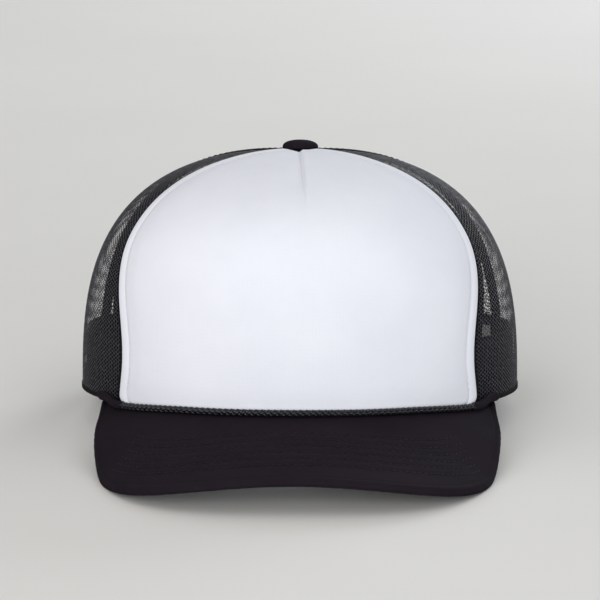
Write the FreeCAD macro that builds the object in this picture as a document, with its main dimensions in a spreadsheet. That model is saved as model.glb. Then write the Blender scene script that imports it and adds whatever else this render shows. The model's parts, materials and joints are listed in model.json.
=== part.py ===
import FreeCAD, Part
import math
import os

import Sketcher

# Five-panel cap with a padded front panel, mesh sides and back, a flat-stitched visor and a
# peg-and-hole closure. Everything is first built with the cap's rim level: origin at the centre
# of the rim, visor towards -Y, +X to the right of the visor seen from the front, +Z up. One
# placement then stands the whole cap on its visor corners and back rim, on the plane z = 0.
# Azimuths are degrees about the crown axis, 0 at the centre of the front, positive towards +X.
# Depths are millimetres inwards from the crown's reference surface, along its normal.

Vector = FreeCAD.Vector

SIZES = [
    # crown reference surface
    ("rim_half_width", 94.0),
    ("rim_half_length", 99.0),
    ("crown_height", 103.0),
    ("side_wall_power", 2.6),
    ("side_top_power", 2.9),
    ("front_wall_power", 1.65),
    ("front_top_power", 6.0),
    ("back_wall_power", 2.4),
    ("back_top_power", 2.3),
    ("rim_side_height", 1.25),
    ("rim_front_bow", 1.75),
    # panels and seams
    ("front_seam_azimuth", 51.4),
    ("front_seam_foot", 1.3),
    ("front_seam_spread", 5.8),
    ("front_seam_top", 3.0),
    ("side_seam_azimuth", 110.0),
    ("side_seam_sweep", 6.0),
    ("panel_gap", 0.3),
    ("foam_proud", 1.0),
    ("foam_thickness", 3.5),
    ("mesh_thickness", 0.8),
    ("foam_top_ray", 84.0),
    ("mesh_top_ray", 86.5),
    ("tape_width", 9.0),
    ("front_tape_width", 7.2),
    ("tape_depth", 1.05),
    ("tape_thickness", 0.5),
    ("tape_top_ray", 82.0),
    ("stitch_inset", 6.3),
    ("stitch_width", 0.7),
    ("stitch_height", 0.25),
    # sweatband
    ("band_end_azimuth", 149.5),
    ("band_top_ray", 15.0),
    ("band_side_depth", 1.9),
    ("band_front_depth", 3.0),
    ("band_over_tab_depth", 6.9),
    ("band_bottom_ray", 0.8),
    ("band_thickness", 1.5),
    # top button
    ("button_radius", 7.6),
    ("button_height", 3.6),
    ("button_round", 3.2),
    ("button_cover_wall", 0.6),
    ("button_clearance", 0.15),
    ("post_radius", 1.6),
    ("post_length", 5.4),
    ("washer_radius", 6.0),
    ("washer_thickness", 0.8),
    ("washer_top", 99.9),
    # visor
    ("visor_length", 68.0),
    ("visor_half_width", 84.0),
    ("visor_side_start", 50.0),
    ("visor_outline_power", 3.2),
    ("visor_end_azimuth", 60.0),
    ("visor_tuck_under", 2.6),
    ("visor_root_height", 1.9),
    ("visor_slope", 0.228),
    ("visor_arch", 0.00127),
    ("visor_arch_growth", 0.0009),
    ("visor_corner_drop", 1.17e-7),
    ("visor_corner_inset", 0.018),
    ("visor_corner_lift", 1.6),
    ("cover_thickness", 0.6),
    ("board_thickness", 1.7),
    ("layer_gap", 0.1),
    ("edge_fold_width", 2.0),
    ("stitch_row_first", 19.2),
    ("stitch_row_pitch", 6.7),
    ("stitch_row_count", 6),
    ("stitch_row_end", 66.0),
    ("stitch_row_spread", 1.7),
    ("stitch_row_gap", 0.15),
    # rope along the visor seam
    ("rope_radius", 1.5),
    ("rope_end_azimuth", 52.8),
    ("tuck_end_azimuth", 62.5),
    # arched opening at the back
    ("arch_radius", 46.0),
    ("arch_straight", 6.0),
    ("binding_width", 5.0),
    ("binding_proud", 0.5),
    ("binding_thickness", 2.2),
    # snap closure
    ("strap_bottom", 4.0),
    ("strap_height", 18.0),
    ("strap_thickness", 1.2),
    ("strap_corner_radius", 7.0),
    ("hole_strap_inner_radius", 85.2),
    ("peg_strap_inner_radius", 83.6),
    ("hinge_angle", 29.2),
    ("tab_angle", 7.8),
    ("tab_gap_angle", 0.9),
    ("snap_count", 7),
    ("snap_engaged", 4),
    ("snap_pitch_angle", 5.7),
    ("strap_end_margin", 2.9),
    ("peg_base_radius", 1.5),
    ("peg_tip_radius", 1.0),
    ("peg_height", 2.1),
    ("hole_radius", 2.2),
]

doc = FreeCAD.newDocument("TruckerCap")
sheet = doc.addObject("Spreadsheet::Sheet", "Sizes")
for row, (alias, value) in enumerate(SIZES, start=1):
    sheet.set(f"A{row}", alias)
    sheet.set(f"B{row}", str(value))
    sheet.setAlias(f"B{row}", alias)
doc.recompute()

# The back of the rim ellipse is a circle of this radius, to within 0.2 mm over the closure.
row = len(SIZES) + 1
sheet.set(f"A{row}", "back_curve_radius")
sheet.set(f"B{row}", "=rim_half_width * rim_half_width / rim_half_length")
sheet.setAlias(f"B{row}", "back_curve_radius")
doc.recompute()


def size(alias):
    """The value of one cell of the sheet."""
    return float(sheet.get(alias))


A = size("rim_half_width")
B = size("rim_half_length")
CROWN = size("crown_height")
GAP = size("panel_gap")


# ---------------------------------------------------------------- crown surface

def blended_power(kind, azimuth):
    """Exponent of the crown's profile: side value, drawn towards the front or back value."""
    facing = math.cos(math.radians(azimuth))
    end = "front" if facing > 0 else "back"
    side = size(f"side_{kind}_power")
    return side + (size(f"{end}_{kind}_power") - side) * facing ** 2


def unit_profile(azimuth, ray):
    """Unit radius and height where the ray at this elevation meets the crown's profile."""
    wall = blended_power("wall", azimuth)
    top = blended_power("top", azimuth)
    across = math.cos(math.radians(ray))
    up = math.sin(math.radians(ray))
    near, far = 0.5, 1.6
    for _ in range(40):
        middle = (near + far) / 2
        if (middle * across) ** wall + (middle * abs(up)) ** top > 1:
            far = middle
        else:
            near = middle
    return near * across, near * up


def eased(value, start, end):
    """Smooth step from 0 at the start to 1 at the end."""
    share = min(max((value - start) / (end - start), 0.0), 1.0)
    return share * share * (3 - 2 * share)


def rim_height(azimuth):
    """The rim bows up over the visor, stays a little raised at the sides and is low at the back."""
    turn = abs(azimuth)
    bow = size("rim_front_bow") * math.cos(math.radians(1.5 * min(turn, 60)))
    return bow + size("rim_side_height") * (1 - eased(turn, 85, 130))


def crown_base(azimuth, ray):
    """Point of the crown's reference surface."""
    radius, height = unit_profile(azimuth, ray)
    turn = math.radians(azimuth)
    lift = rim_height(azimuth) * (1 - min(max(height, 0), 1)) ** 2
    return Vector(A * radius * math.sin(turn), -B * radius * math.cos(turn), CROWN * height + lift)


def crown_point(azimuth, ray, depth):
    """Point at a depth below the crown's reference surface, along its normal."""
    step = 0.05
    along = crown_base(azimuth + step, ray) - crown_base(azimuth - step, ray)
    upward = crown_base(azimuth, ray + step) - crown_base(azimuth, ray - step)
    inward = upward.cross(along)
    inward.normalize()
    return crown_base(azimuth, ray) + inward * depth


def front_seam(share):
    """Azimuth of the seam between front panel and side mesh, at a share of the way up.

    It is narrowest a little above the rim and flares out at its foot, its middle and its top.
    """
    foot = size("front_seam_foot") * (1 - eased(share, 0.0, 0.12))
    spread = size("front_seam_spread") * eased(share, 0.13, 0.42)
    top = size("front_seam_top") * eased(share, 0.7, 0.95)
    return size("front_seam_azimuth") + foot + spread + top


def side_seam(share):
    """Azimuth of the seam between side and back mesh, at a share of the way up."""
    return size("side_seam_azimuth") + size("side_seam_sweep") * share


def turn_for(distance, azimuth, ray):
    """Degrees of azimuth that a distance along the surface takes at this place."""
    point = crown_base(azimuth, ray)
    return math.degrees(distance / max(math.hypot(point.x, point.y), 4.0))


# ---------------------------------------------------------------- solids from two surfaces

def spline_surface(grid):
    surface = Part.BSplineSurface()
    surface.interpolate(grid)
    return surface


def shell_solid(outer_grid, inner_grid):
    """Closed solid between two surfaces through matching grids of points."""
    outer = spline_surface(outer_grid)
    inner = spline_surface(inner_grid)
    outer_ends = outer.bounds()
    inner_ends = inner.bounds()
    faces = [outer.toShape(), inner.toShape()]
    for end in (0, 1):
        faces.append(Part.makeRuledSurface(
            outer.uIso(outer_ends[end]).toShape(), inner.uIso(inner_ends[end]).toShape()))
        faces.append(Part.makeRuledSurface(
            outer.vIso(outer_ends[2 + end]).toShape(), inner.vIso(inner_ends[2 + end]).toShape()))
    shell = Part.makeShell(faces)
    shell.sewShape()
    solid = Part.makeSolid(shell)
    if solid.Volume < 0:
        solid.reverse()
    return solid


def steps(first, last, count):
    return [first + (last - first) * i / (count - 1) for i in range(count)]


def crown_patch(left_edge, right_edge, low_ray, high_ray, depth, thickness, across=17, up=15):
    """Solid layer of the crown between two edges, each an azimuth as a function of the ray."""
    grids = []
    for level in (0.0, 1.0):
        grid = []
        for share in steps(0.0, 1.0, across):
            column = []
            for ray in steps(low_ray, high_ray, up):
                azimuth = left_edge(ray) + (right_edge(ray) - left_edge(ray)) * share
                start = depth(azimuth) if callable(depth) else depth
                column.append(crown_point(azimuth, ray, start + thickness * level))
            grid.append(column)
        grids.append(grid)
    return shell_solid(*grids)


def beside(seam, offset, side=1):
    """Edge that runs a distance beside a seam; side -1 mirrors it to the left."""
    def edge(ray):
        azimuth = seam(ray / 90)
        return side * (azimuth + turn_for(offset, azimuth, ray))
    return edge


def mirrored(solid):
    """The same solid on the other side of the cap."""
    return solid.mirror(Vector(0, 0, 0), Vector(1, 0, 0))


sub_parts = []


def keep(part, name):
    """Name a sub-part and list it for the export."""
    part.Label = name
    sub_parts.append(part)
    return part


def feature(name, shape):
    part = doc.addObject("Part::Feature", name)
    part.Shape = shape
    return part


def keep_pair(name, solid):
    """A sub-part on the right side and its mirror image on the left."""
    keep(feature(name + "_right", solid), name + "_right")
    keep(feature(name + "_left", mirrored(solid)), name + "_left")


# ---------------------------------------------------------------- crown panels

def build_front_panel():
    edge_right = beside(front_seam, -GAP)
    edge_left = beside(front_seam, -GAP, -1)
    panel = crown_patch(edge_left, edge_right, 0.0, size("foam_top_ray"),
                        -size("foam_proud"), size("foam_thickness"), across=25)
    keep(feature("front_panel", panel), "front_panel")


def build_side_mesh():
    panel = crown_patch(beside(front_seam, GAP / 2), beside(side_seam, -GAP / 2),
                        0.0, size("mesh_top_ray"), 0.0, size("mesh_thickness"))
    keep_pair("side_mesh", panel)


def arch_tool(name, half_width):
    """Round-topped bar along Y, of this half width, that passes through the back of the crown."""
    length = "Sizes.rim_half_length * 0.8"
    bar = doc.addObject("Part::Cylinder", name + "Top")
    bar.setExpression("Radius", half_width)
    bar.setExpression("Height", length)
    bar.setExpression(".Placement.Base.z", "Sizes.arch_straight")
    bar.Placement.Rotation = FreeCAD.Rotation(Vector(1, 0, 0), -90)
    block = doc.addObject("Part::Box", name + "Sides")
    block.setExpression("Length", f"2 * ({half_width})")
    block.setExpression("Width", length)
    block.setExpression("Height", "Sizes.arch_straight + 20")
    block.setExpression(".Placement.Base.x", f"-({half_width})")
    block.Placement.Base.z = -20
    for piece in (bar, block):
        piece.setExpression(".Placement.Base.y", "Sizes.rim_half_length * 0.5")
    fuse = doc.addObject("Part::Fuse", name)
    fuse.Base = bar
    fuse.Tool = block
    return fuse


def build_back(opening, bound_opening):
    centre_edge = lambda ray: 180 - turn_for(GAP / 2, 180, ray)
    panel = crown_patch(beside(side_seam, GAP / 2), centre_edge,
                        0.0, size("mesh_top_ray"), 0.0, size("mesh_thickness"))
    for side, solid in (("right", panel), ("left", mirrored(panel))):
        whole = feature("BackMeshWhole" + side, solid)
        cut = doc.addObject("Part::Cut", "back_mesh_" + side)
        cut.Base = whole
        cut.Tool = bound_opening
        keep(cut, "back_mesh_" + side)

    layer = feature("BindingLayer", crown_patch(
        lambda ray: 136, lambda ray: 224, 0.0, 38.0,
        -size("binding_proud"), size("binding_thickness"), across=17, up=9))
    ring = doc.addObject("Part::Cut", "BindingRing")
    ring.Base = bound_opening
    ring.Tool = opening
    binding = doc.addObject("Part::Common", "arch_binding")
    binding.Base = layer
    binding.Tool = ring
    keep(binding, "arch_binding")


# ---------------------------------------------------------------- tapes, threads, sweatband

def band_depth(azimuth):
    """The sweatband lies behind foam in front, mesh at the sides, and the strap tabs at the back."""
    front = size("band_front_depth")
    side = size("band_side_depth")
    over_tab = size("band_over_tab_depth")
    turn = abs(azimuth)
    return front + (side - front) * eased(turn, 54, 66) + (over_tab - side) * eased(turn, 130, 143)


def build_tapes():
    low = size("band_top_ray") + 1.0
    high = size("tape_top_ray")
    depth = size("tape_depth")
    thick = size("tape_thickness")
    half = size("tape_width") / 2
    front = crown_patch(beside(front_seam, GAP), beside(front_seam, size("front_tape_width")),
                        low, high, depth, thick, across=5)
    keep_pair("front_seam_tape", front)
    side = crown_patch(beside(side_seam, -half), beside(side_seam, half),
                       low, high, depth, thick, across=5)
    keep_pair("side_seam_tape", side)
    arch_top = math.degrees(math.atan2((size("arch_radius") + size("arch_straight")
                                        + size("binding_width") + 1.5) / CROWN, 0.86))
    back = crown_patch(lambda ray: 180 - turn_for(half, 180, ray),
                       lambda ray: 180 + turn_for(half, 180, ray),
                       arch_top, high, depth, thick, across=5)
    keep(feature("back_seam_tape", back), "back_seam_tape")


def build_front_stitching():
    inset = size("stitch_inset")
    width = size("stitch_width")
    top = -size("foam_proud") - size("stitch_height") - 0.05
    row = crown_patch(beside(front_seam, -inset - width), beside(front_seam, -inset),
                      3.0, size("foam_top_ray") - 6, top, size("stitch_height"), across=4)
    keep_pair("front_stitching", row)


def build_sweatband():
    end = size("band_end_azimuth")
    top = size("band_top_ray")
    band = crown_patch(lambda ray: -end, lambda ray: end, size("band_bottom_ray"), top,
                       band_depth, size("band_thickness"), across=61, up=5)
    keep(feature("sweatband", band), "sweatband")

    def inner_face(azimuth):
        return band_depth(azimuth) + size("band_thickness") + 0.05
    thread = crown_patch(lambda ray: -end, lambda ray: end, top - 1.6, top - 1.2,
                         inner_face, size("stitch_height"), across=61, up=4)
    keep(feature("sweatband_stitching", thread), "sweatband_stitching")

    label = crown_patch(lambda ray: 112, lambda ray: 124, 4.0, 13.0,
                        inner_face, 0.4, across=7, up=5)
    keep(feature("size_label", label), "size_label")


# ---------------------------------------------------------------- visor

def visor_inner(share):
    """Plan of the visor's root, a little inside the crown's rim; share runs from -1 to 1."""
    turn = math.radians(share * size("visor_end_azimuth"))
    inset = size("visor_tuck_under")
    return (A - inset) * math.sin(turn), -(B - inset) * math.cos(turn)


def visor_outer(share):
    """Plan of the visor's outline, a flattened oval that draws in a little at its rear corners."""
    turn = math.radians(share * 90)
    half = size("visor_half_width")
    back = size("visor_side_start")
    reach = B + size("visor_length") - back
    power = size("visor_outline_power")
    across = abs(math.sin(turn)) / half
    forward = abs(math.cos(turn)) / reach
    radius = (across ** power + forward ** power) ** (-1 / power)
    drawn_in = 1 - size("visor_corner_inset") * eased(abs(share), 0.8, 1.0)
    return radius * math.sin(turn) * drawn_in, -back - radius * math.cos(turn)


def visor_height(x, y):
    """Height of the visor's top: it slopes forward, arches more in front and drops at its sides.

    The rear corners turn up to meet the rim.
    """
    ahead = -y - B
    arch = size("visor_arch") + size("visor_arch_growth") * eased(ahead, -12, 24)
    fall = arch * x ** 2 + size("visor_corner_drop") * x ** 4
    lift = size("visor_corner_lift") * eased(abs(x), 79.5, 83.0) * (1 - eased(ahead, -48, -34))
    return size("visor_root_height") - size("visor_slope") * ahead - fall + lift


def visor_point(share, reach, depth):
    """Point of the visor: reach is 0 at the root and 1 at the outline, depth is downwards."""
    inner = visor_inner(share)
    outer = visor_outer(share)
    x = inner[0] + (outer[0] - inner[0]) * reach
    y = inner[1] + (outer[1] - inner[1]) * reach
    return Vector(x, y, visor_height(x, y) - depth)


def visor_patch(low_reach, high_reach, depth, thickness, end=1.0, across=33, out=9):
    """Solid layer of the visor between two reaches, each a function of the share across."""
    grids = []
    for level in (0.0, 1.0):
        grid = []
        for share in steps(-end, end, across):
            column = []
            for part in steps(0.0, 1.0, out):
                reach = low_reach(share) + (high_reach(share) - low_reach(share)) * part
                column.append(visor_point(share, reach, depth + thickness * level))
            grid.append(column)
        grids.append(grid)
    return shell_solid(*grids)


def reach_before_edge(distance):
    """Reach of the line that stays this far inside the visor's outline."""
    def reach(share):
        inner = visor_inner(share)
        outer = visor_outer(share)
        return 1 - distance / max(math.dist(inner, outer), 4.0)
    return reach


def visor_thread(behind, end):
    """Flat thread on the visor's top that follows the outline, this far behind it."""
    half = size("stitch_width") / 2
    thick = size("stitch_height")
    gap = size("stitch_row_gap")
    front = size("visor_side_start")
    reach = B + size("visor_length") - front
    power = size("visor_outline_power")
    grids = []
    for level in (1.0, 0.0):
        grid = []
        for x in steps(-end, end, 33):
            outline = -front - reach * (1 - (abs(x) / size("visor_half_width")) ** power) ** (1 / power)
            line = [outline + behind + offset for offset in (half, 0.0, -half)]
            grid.append([Vector(x, y, visor_height(x, y) + gap + thick * level) for y in line])
        grids.append(grid)
    return shell_solid(*grids)


def build_visor():
    cover = size("cover_thickness")
    gap = size("layer_gap")
    board = size("board_thickness")
    root = lambda share: 0.0
    edge = lambda share: 1.0
    fold = reach_before_edge(size("edge_fold_width"))
    inside = reach_before_edge(size("edge_fold_width") + 0.2)
    keep(feature("visor_top_cover", visor_patch(root, edge, 0.0, cover)), "visor_top_cover")
    keep(feature("visor_board", visor_patch(root, inside, cover + gap, board, 0.98)), "visor_board")
    keep(feature("visor_edge_fold", visor_patch(fold, edge, cover + gap, board, out=4)),
         "visor_edge_fold")
    under = cover + gap + board + gap
    keep(feature("visor_under_cover", visor_patch(root, edge, under, cover)), "visor_under_cover")

    rows = []
    for number in range(int(size("stitch_row_count"))):
        ahead = size("stitch_row_first") + number * size("stitch_row_pitch")
        end = size("stitch_row_end") + number * size("stitch_row_spread")
        rows.append(visor_thread(size("visor_length") - ahead, end))
    keep(feature("visor_stitching", Part.makeCompound(rows)), "visor_stitching")


# ---------------------------------------------------------------- rope

def rope_centre(azimuth):
    """Centre line of the rope, in the corner between crown and visor."""
    radius = size("rope_radius")
    share = min(max((abs(azimuth) - 44) / 12, 0.0), 1.0)
    proud = size("foam_proud") * (1 - share) + radius + GAP
    point = crown_point(azimuth, 0.3, -proud)
    floor = visor_height(point.x, point.y) + radius
    return Vector(point.x, point.y, floor + 0.25)


def build_rope():
    end = size("rope_end_azimuth")
    radius = size("rope_radius")
    circles = []
    for azimuth in steps(-end, end, 25):
        along = rope_centre(azimuth + 0.5) - rope_centre(azimuth - 0.5)
        circles.append(Part.Wire(Part.makeCircle(radius, rope_centre(azimuth), along)))
    rope = Part.makeLoft(circles, True, False)
    keep(feature("rope", rope), "rope")

    tuck_end = size("tuck_end_azimuth")
    tuck = crown_patch(lambda ray: end + 0.4, lambda ray: tuck_end, 0.2, 2.0,
                       -2.4, 2.2, across=6, up=4)
    keep_pair("rope_tuck", tuck)


# ---------------------------------------------------------------- top button

def plane_of(body, role):
    for item in body.Origin.OriginFeatures:
        if item.Role == role:
            return item
    raise ValueError(role)


def circle_sketch(body, name, radii, height=None):
    """Sketch of circles about the body's axis; radii and height are expressions."""
    sketch = body.newObject("Sketcher::SketchObject", name)
    sketch.AttachmentSupport = [(plane_of(body, "XY_Plane"), "")]
    sketch.MapMode = "FlatFace"
    for index, radius in enumerate(radii):
        sketch.addGeometry(Part.Circle(Vector(0, 0, 0), Vector(0, 0, 1), 2.0 + index))
        sketch.addConstraint(Sketcher.Constraint("Coincident", index, 3, -1, 1))
        number = sketch.addConstraint(Sketcher.Constraint("Radius", index, 2.0 + index))
        sketch.renameConstraint(number, f"ring{index}")
        sketch.setExpression(f"Constraints.ring{index}", radius)
    if height is not None:
        sketch.setExpression(".AttachmentOffset.Base.z", height)
    return sketch


def pad(body, name, sketch, length, down=False):
    part = body.newObject("PartDesign::Pad", name)
    part.Profile = sketch
    part.setExpression("Length", length)
    part.Reversed = down
    doc.recompute()
    return part


def round_top(body, base, radius):
    """Fillet on the highest round edge of the body."""
    highest = max(range(len(base.Shape.Edges)),
                  key=lambda i: base.Shape.Edges[i].BoundBox.ZMin)
    fillet = body.newObject("PartDesign::Fillet", "RoundedTop")
    fillet.Base = (base, [f"Edge{highest + 1}"])
    fillet.setExpression("Radius", radius)
    doc.recompute()
    return fillet


def build_button():
    wall = "Sizes.button_cover_wall"
    cover = doc.addObject("PartDesign::Body", "button_cover")
    disc = pad(cover, "Disc", circle_sketch(cover, "Outline", ["Sizes.button_radius"]),
               "Sizes.button_height")
    round_top(cover, disc, "Sizes.button_round")
    hollow = circle_sketch(cover, "Hollow", [f"Sizes.button_radius - {wall}"])
    before = cover.Shape.Volume
    pocket = cover.newObject("PartDesign::Pocket", "Inside")
    pocket.Profile = hollow
    pocket.Reversed = True
    pocket.setExpression("Length", "Sizes.button_height - Sizes.button_round * 0.5")
    doc.recompute()
    if not 0 < cover.Shape.Volume < before:
        raise RuntimeError("the button cover was not hollowed")
    keep(cover, "button_cover")

    shell = doc.addObject("PartDesign::Body", "button_shell")
    rim = f"Sizes.button_radius - {wall} - Sizes.button_clearance"
    depth = "Sizes.button_height - Sizes.button_round * 0.5 - Sizes.button_clearance"
    pad(shell, "Disc", circle_sketch(shell, "Outline", [rim]), depth)
    pad(shell, "Post", circle_sketch(shell, "PostOutline", ["Sizes.post_radius"]),
        "Sizes.post_length", down=True)
    keep(shell, "button_shell")

    washer = doc.addObject("PartDesign::Body", "button_washer")
    pad(washer, "Ring", circle_sketch(
        washer, "Outline", ["Sizes.washer_radius", "Sizes.post_radius + Sizes.button_clearance"]),
        "Sizes.washer_thickness")
    keep(washer, "button_washer")

    seat = FreeCAD.Placement(Vector(0, 0, CROWN + 0.3), FreeCAD.Rotation())
    low = FreeCAD.Placement(Vector(0, 0, size("washer_top") - size("washer_thickness")),
                            FreeCAD.Rotation())
    return {cover: seat, shell: seat, washer: low}


# ---------------------------------------------------------------- snap closure

def strip_sketch(body, inner, outer, first, last):
    """Curved strip between two radii and two angles, all given as expressions."""
    sketch = body.newObject("Sketcher::SketchObject", "Strip")
    sketch.AttachmentSupport = [(plane_of(body, "XY_Plane"), "")]
    sketch.MapMode = "FlatFace"
    low, high = math.radians(60), math.radians(120)
    for radius in (80.0, 82.0):
        circle = Part.Circle(Vector(0, 0, 0), Vector(0, 0, 1), radius)
        sketch.addGeometry(Part.ArcOfCircle(circle, low, high))
    for angle in (low, high):
        start = Vector(80 * math.cos(angle), 80 * math.sin(angle), 0)
        end = Vector(82 * math.cos(angle), 82 * math.sin(angle), 0)
        sketch.addGeometry(Part.LineSegment(start, end))
    constraints = [("Coincident", 0, 3, -1, 1), ("Coincident", 1, 3, -1, 1),
                   ("Coincident", 2, 1, 0, 1), ("Coincident", 2, 2, 1, 1),
                   ("Coincident", 3, 1, 0, 2), ("Coincident", 3, 2, 1, 2),
                   ("PointOnObject", -1, 1, 2), ("PointOnObject", -1, 1, 3)]
    for constraint in constraints:
        sketch.addConstraint(Sketcher.Constraint(*constraint))
    bound = [("inner", ("Radius", 0, 80.0), inner), ("outer", ("Radius", 1, 82.0), outer),
             ("first", ("Angle", 2, low), first), ("last", ("Angle", 3, high), last)]
    for name, constraint, expression in bound:
        number = sketch.addConstraint(Sketcher.Constraint(*constraint))
        sketch.renameConstraint(number, name)
        sketch.setExpression(f"Constraints.{name}", expression)
    return sketch


def rounded_end(body, strip, at_start):
    """Fillets on the two corners of a strap's free end."""
    free_angle = 90 - size("strap_end_margin") if at_start else 90 + size("strap_end_margin")
    names = []
    for index, edge in enumerate(strip.Shape.Edges):
        middle = edge.valueAt((edge.FirstParameter + edge.LastParameter) / 2)
        angle = math.degrees(math.atan2(middle.y, middle.x))
        short = abs(edge.Length - size("strap_thickness")) < 0.01
        if short and abs(angle - free_angle) < 0.1:
            names.append(f"Edge{index + 1}")
    fillet = body.newObject("PartDesign::Fillet", "RoundedEnd")
    fillet.Base = (strip, names)
    fillet.setExpression("Radius", "Sizes.strap_corner_radius")
    doc.recompute()
    return fillet


def snap_row(body, first, leftward):
    """Row of pegs or holes, the first at the body's +Y and the rest turned towards the hinge."""
    row = body.newObject("PartDesign::PolarPattern", "Row")
    row.Originals = [first]
    row.Axis = (plane_of(body, "Z_Axis"), [""])
    row.setExpression("Angle", "Sizes.snap_pitch_angle * (Sizes.snap_count - 1)")
    row.setExpression("Occurrences", "Sizes.snap_count")
    row.Reversed = not leftward
    body.Tip = row
    doc.recompute()


def build_strap(name, inner, leftward, pegs):
    """Strap in its own frame: circle centre at the origin, first peg or hole towards +Y."""
    body = doc.addObject("PartDesign::Body", name)
    inner_radius = f"Sizes.{inner}"
    outer_radius = f"Sizes.{inner} + Sizes.strap_thickness"
    spare = ("(Sizes.hinge_angle + Sizes.snap_pitch_angle * (Sizes.snap_engaged - 1) / 2)")
    if leftward:
        first, last = "90 - Sizes.strap_end_margin", f"90 + {spare}"
    else:
        first, last = f"90 - {spare}", "90 + Sizes.strap_end_margin"
    sketch = strip_sketch(body, inner_radius, outer_radius, first, last)
    strip = pad(body, "Strip", sketch, "Sizes.strap_height")
    rounded_end(body, strip, leftward)
    before = body.Shape.Volume
    upright = FreeCAD.Rotation(Vector(1, 0, 0), -90)
    middle = size("strap_height") / 2
    face = size(inner) + size("strap_thickness")
    if pegs:
        peg = body.newObject("PartDesign::AdditiveCone", "Peg")
        peg.Placement = FreeCAD.Placement(Vector(0, face - 0.2, middle), upright)
        peg.setExpression("Radius1", "Sizes.peg_base_radius")
        peg.setExpression("Radius2", "Sizes.peg_tip_radius")
        peg.setExpression("Height", "Sizes.peg_height + 0.2")
        doc.recompute()
        snap_row(body, peg, leftward)
        changed = body.Shape.Volume > before
    else:
        hole = body.newObject("PartDesign::SubtractiveCylinder", "Hole")
        hole.Placement = FreeCAD.Placement(Vector(0, face - 5, middle), upright)
        hole.setExpression("Radius", "Sizes.hole_radius")
        hole.Height = 10.0
        doc.recompute()
        snap_row(body, hole, leftward)
        changed = body.Shape.Volume < before
    if not changed:
        raise RuntimeError(f"{name} has no row of pegs or holes")
    keep(body, name)
    return body


def build_tab(name, inner, leftward):
    """The end of a strap that is sewn between mesh and sweatband, past the strap's bend."""
    body = doc.addObject("PartDesign::Body", name)
    near = "(Sizes.hinge_angle + Sizes.tab_gap_angle)"
    far = "(Sizes.hinge_angle + Sizes.tab_gap_angle + Sizes.tab_angle)"
    first, last = (f"90 + {near}", f"90 + {far}") if leftward else (f"90 - {far}", f"90 - {near}")
    sketch = strip_sketch(body, f"Sizes.{inner}", f"Sizes.{inner} + Sizes.strap_thickness", first, last)
    pad(body, "Strip", sketch, "Sizes.strap_height")
    keep(body, name)
    return body


def build_closure():
    back_centre = Vector(0, B - size("back_curve_radius"), size("strap_bottom"))
    half_overlap = size("snap_pitch_angle") * (size("snap_engaged") - 1) / 2
    hole_strap = build_strap("hole_strap", "hole_strap_inner_radius", True, pegs=False)
    peg_strap = build_strap("peg_strap", "peg_strap_inner_radius", False, pegs=True)
    hole_tab = build_tab("hole_strap_tab", "hole_strap_inner_radius", True)
    peg_tab = build_tab("peg_strap_tab", "peg_strap_inner_radius", False)
    vertical = Vector(0, 0, 1)
    return {
        hole_strap: FreeCAD.Placement(back_centre, FreeCAD.Rotation(vertical, -half_overlap)),
        peg_strap: FreeCAD.Placement(back_centre, FreeCAD.Rotation(vertical, half_overlap)),
        hole_tab: FreeCAD.Placement(back_centre, FreeCAD.Rotation()),
        peg_tab: FreeCAD.Placement(back_centre, FreeCAD.Rotation()),
    }


# ---------------------------------------------------------------- standing on a table

def resting_tilt():
    """Angle that brings the visor's lowest points level with the back of the rim."""
    under = 2 * size("cover_thickness") + 2 * size("layer_gap") + size("board_thickness")
    back_y, back_z = B, 0.0
    tilt = 0.0
    for share in steps(0.0, 1.0, 81):
        point = visor_point(share, 1.0, under)
        tilt = max(tilt, math.degrees(math.atan2(back_z - point.z, back_y - point.y)))
    return tilt


def stand_on_table(own_places):
    """Place every sub-part: tilted about X, lowest point at z = 0, centred in X and Y."""
    turn = FreeCAD.Placement(Vector(0, 0, 0), FreeCAD.Rotation(Vector(1, 0, 0), -resting_tilt()))
    box = FreeCAD.BoundBox()
    for part in sub_parts:
        own = own_places.get(part, FreeCAD.Placement())
        moved = part.Shape.copy()
        moved.Placement = turn.multiply(own)
        box.add(moved.optimalBoundingBox(True, False))
    shift = FreeCAD.Placement(Vector(-box.Center.x, -box.Center.y, -box.ZMin), FreeCAD.Rotation())
    world = shift.multiply(turn)
    for part in sub_parts:
        part.Placement = world.multiply(own_places.get(part, FreeCAD.Placement()))
    return world


def check_and_export():
    doc.recompute()
    for item in doc.Objects:
        if "Invalid" in item.State or "Error" in item.State:
            raise RuntimeError(f"{item.Label} failed: {item.State}")
    os.makedirs("parts", exist_ok=True)
    for part in sub_parts:
        shape = part.Shape
        if shape.isNull() or not shape.isValid() or shape.Volume <= 0:
            raise RuntimeError(f"{part.Label} has no valid solid")
        shape.exportStep(f"parts/{part.Label}.step")


build_front_panel()
build_side_mesh()
build_back(arch_tool("Opening", "Sizes.arch_radius"),
           arch_tool("BoundOpening", "Sizes.arch_radius + Sizes.binding_width"))
build_tapes()
build_front_stitching()
build_sweatband()
build_visor()
build_rope()
places = build_button()
places.update(build_closure())
doc.recompute()
world = stand_on_table(places)
check_and_export()


def report_places():
    """Print the points and directions that the joints, openings and mounts use."""
    radius = size("hole_strap_inner_radius") + size("strap_thickness") / 2
    centre_y = B - size("back_curve_radius")
    turn = math.radians(size("hinge_angle"))
    for name, side, inner in (("hole_strap", -1, "hole_strap_inner_radius"),
                              ("peg_strap", 1, "peg_strap_inner_radius")):
        radius = size(inner) + size("strap_thickness") / 2
        point = Vector(side * radius * math.sin(turn), centre_y + radius * math.cos(turn),
                       size("strap_bottom") + size("strap_height") / 2)
        print(name, "hinge", world.multVec(point))
    print("up", world.Rotation.multVec(Vector(0, 0, 1)))
    print("rim centre", world.multVec(Vector(0, 0, 0)))
    print("tilt", resting_tilt())


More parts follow.
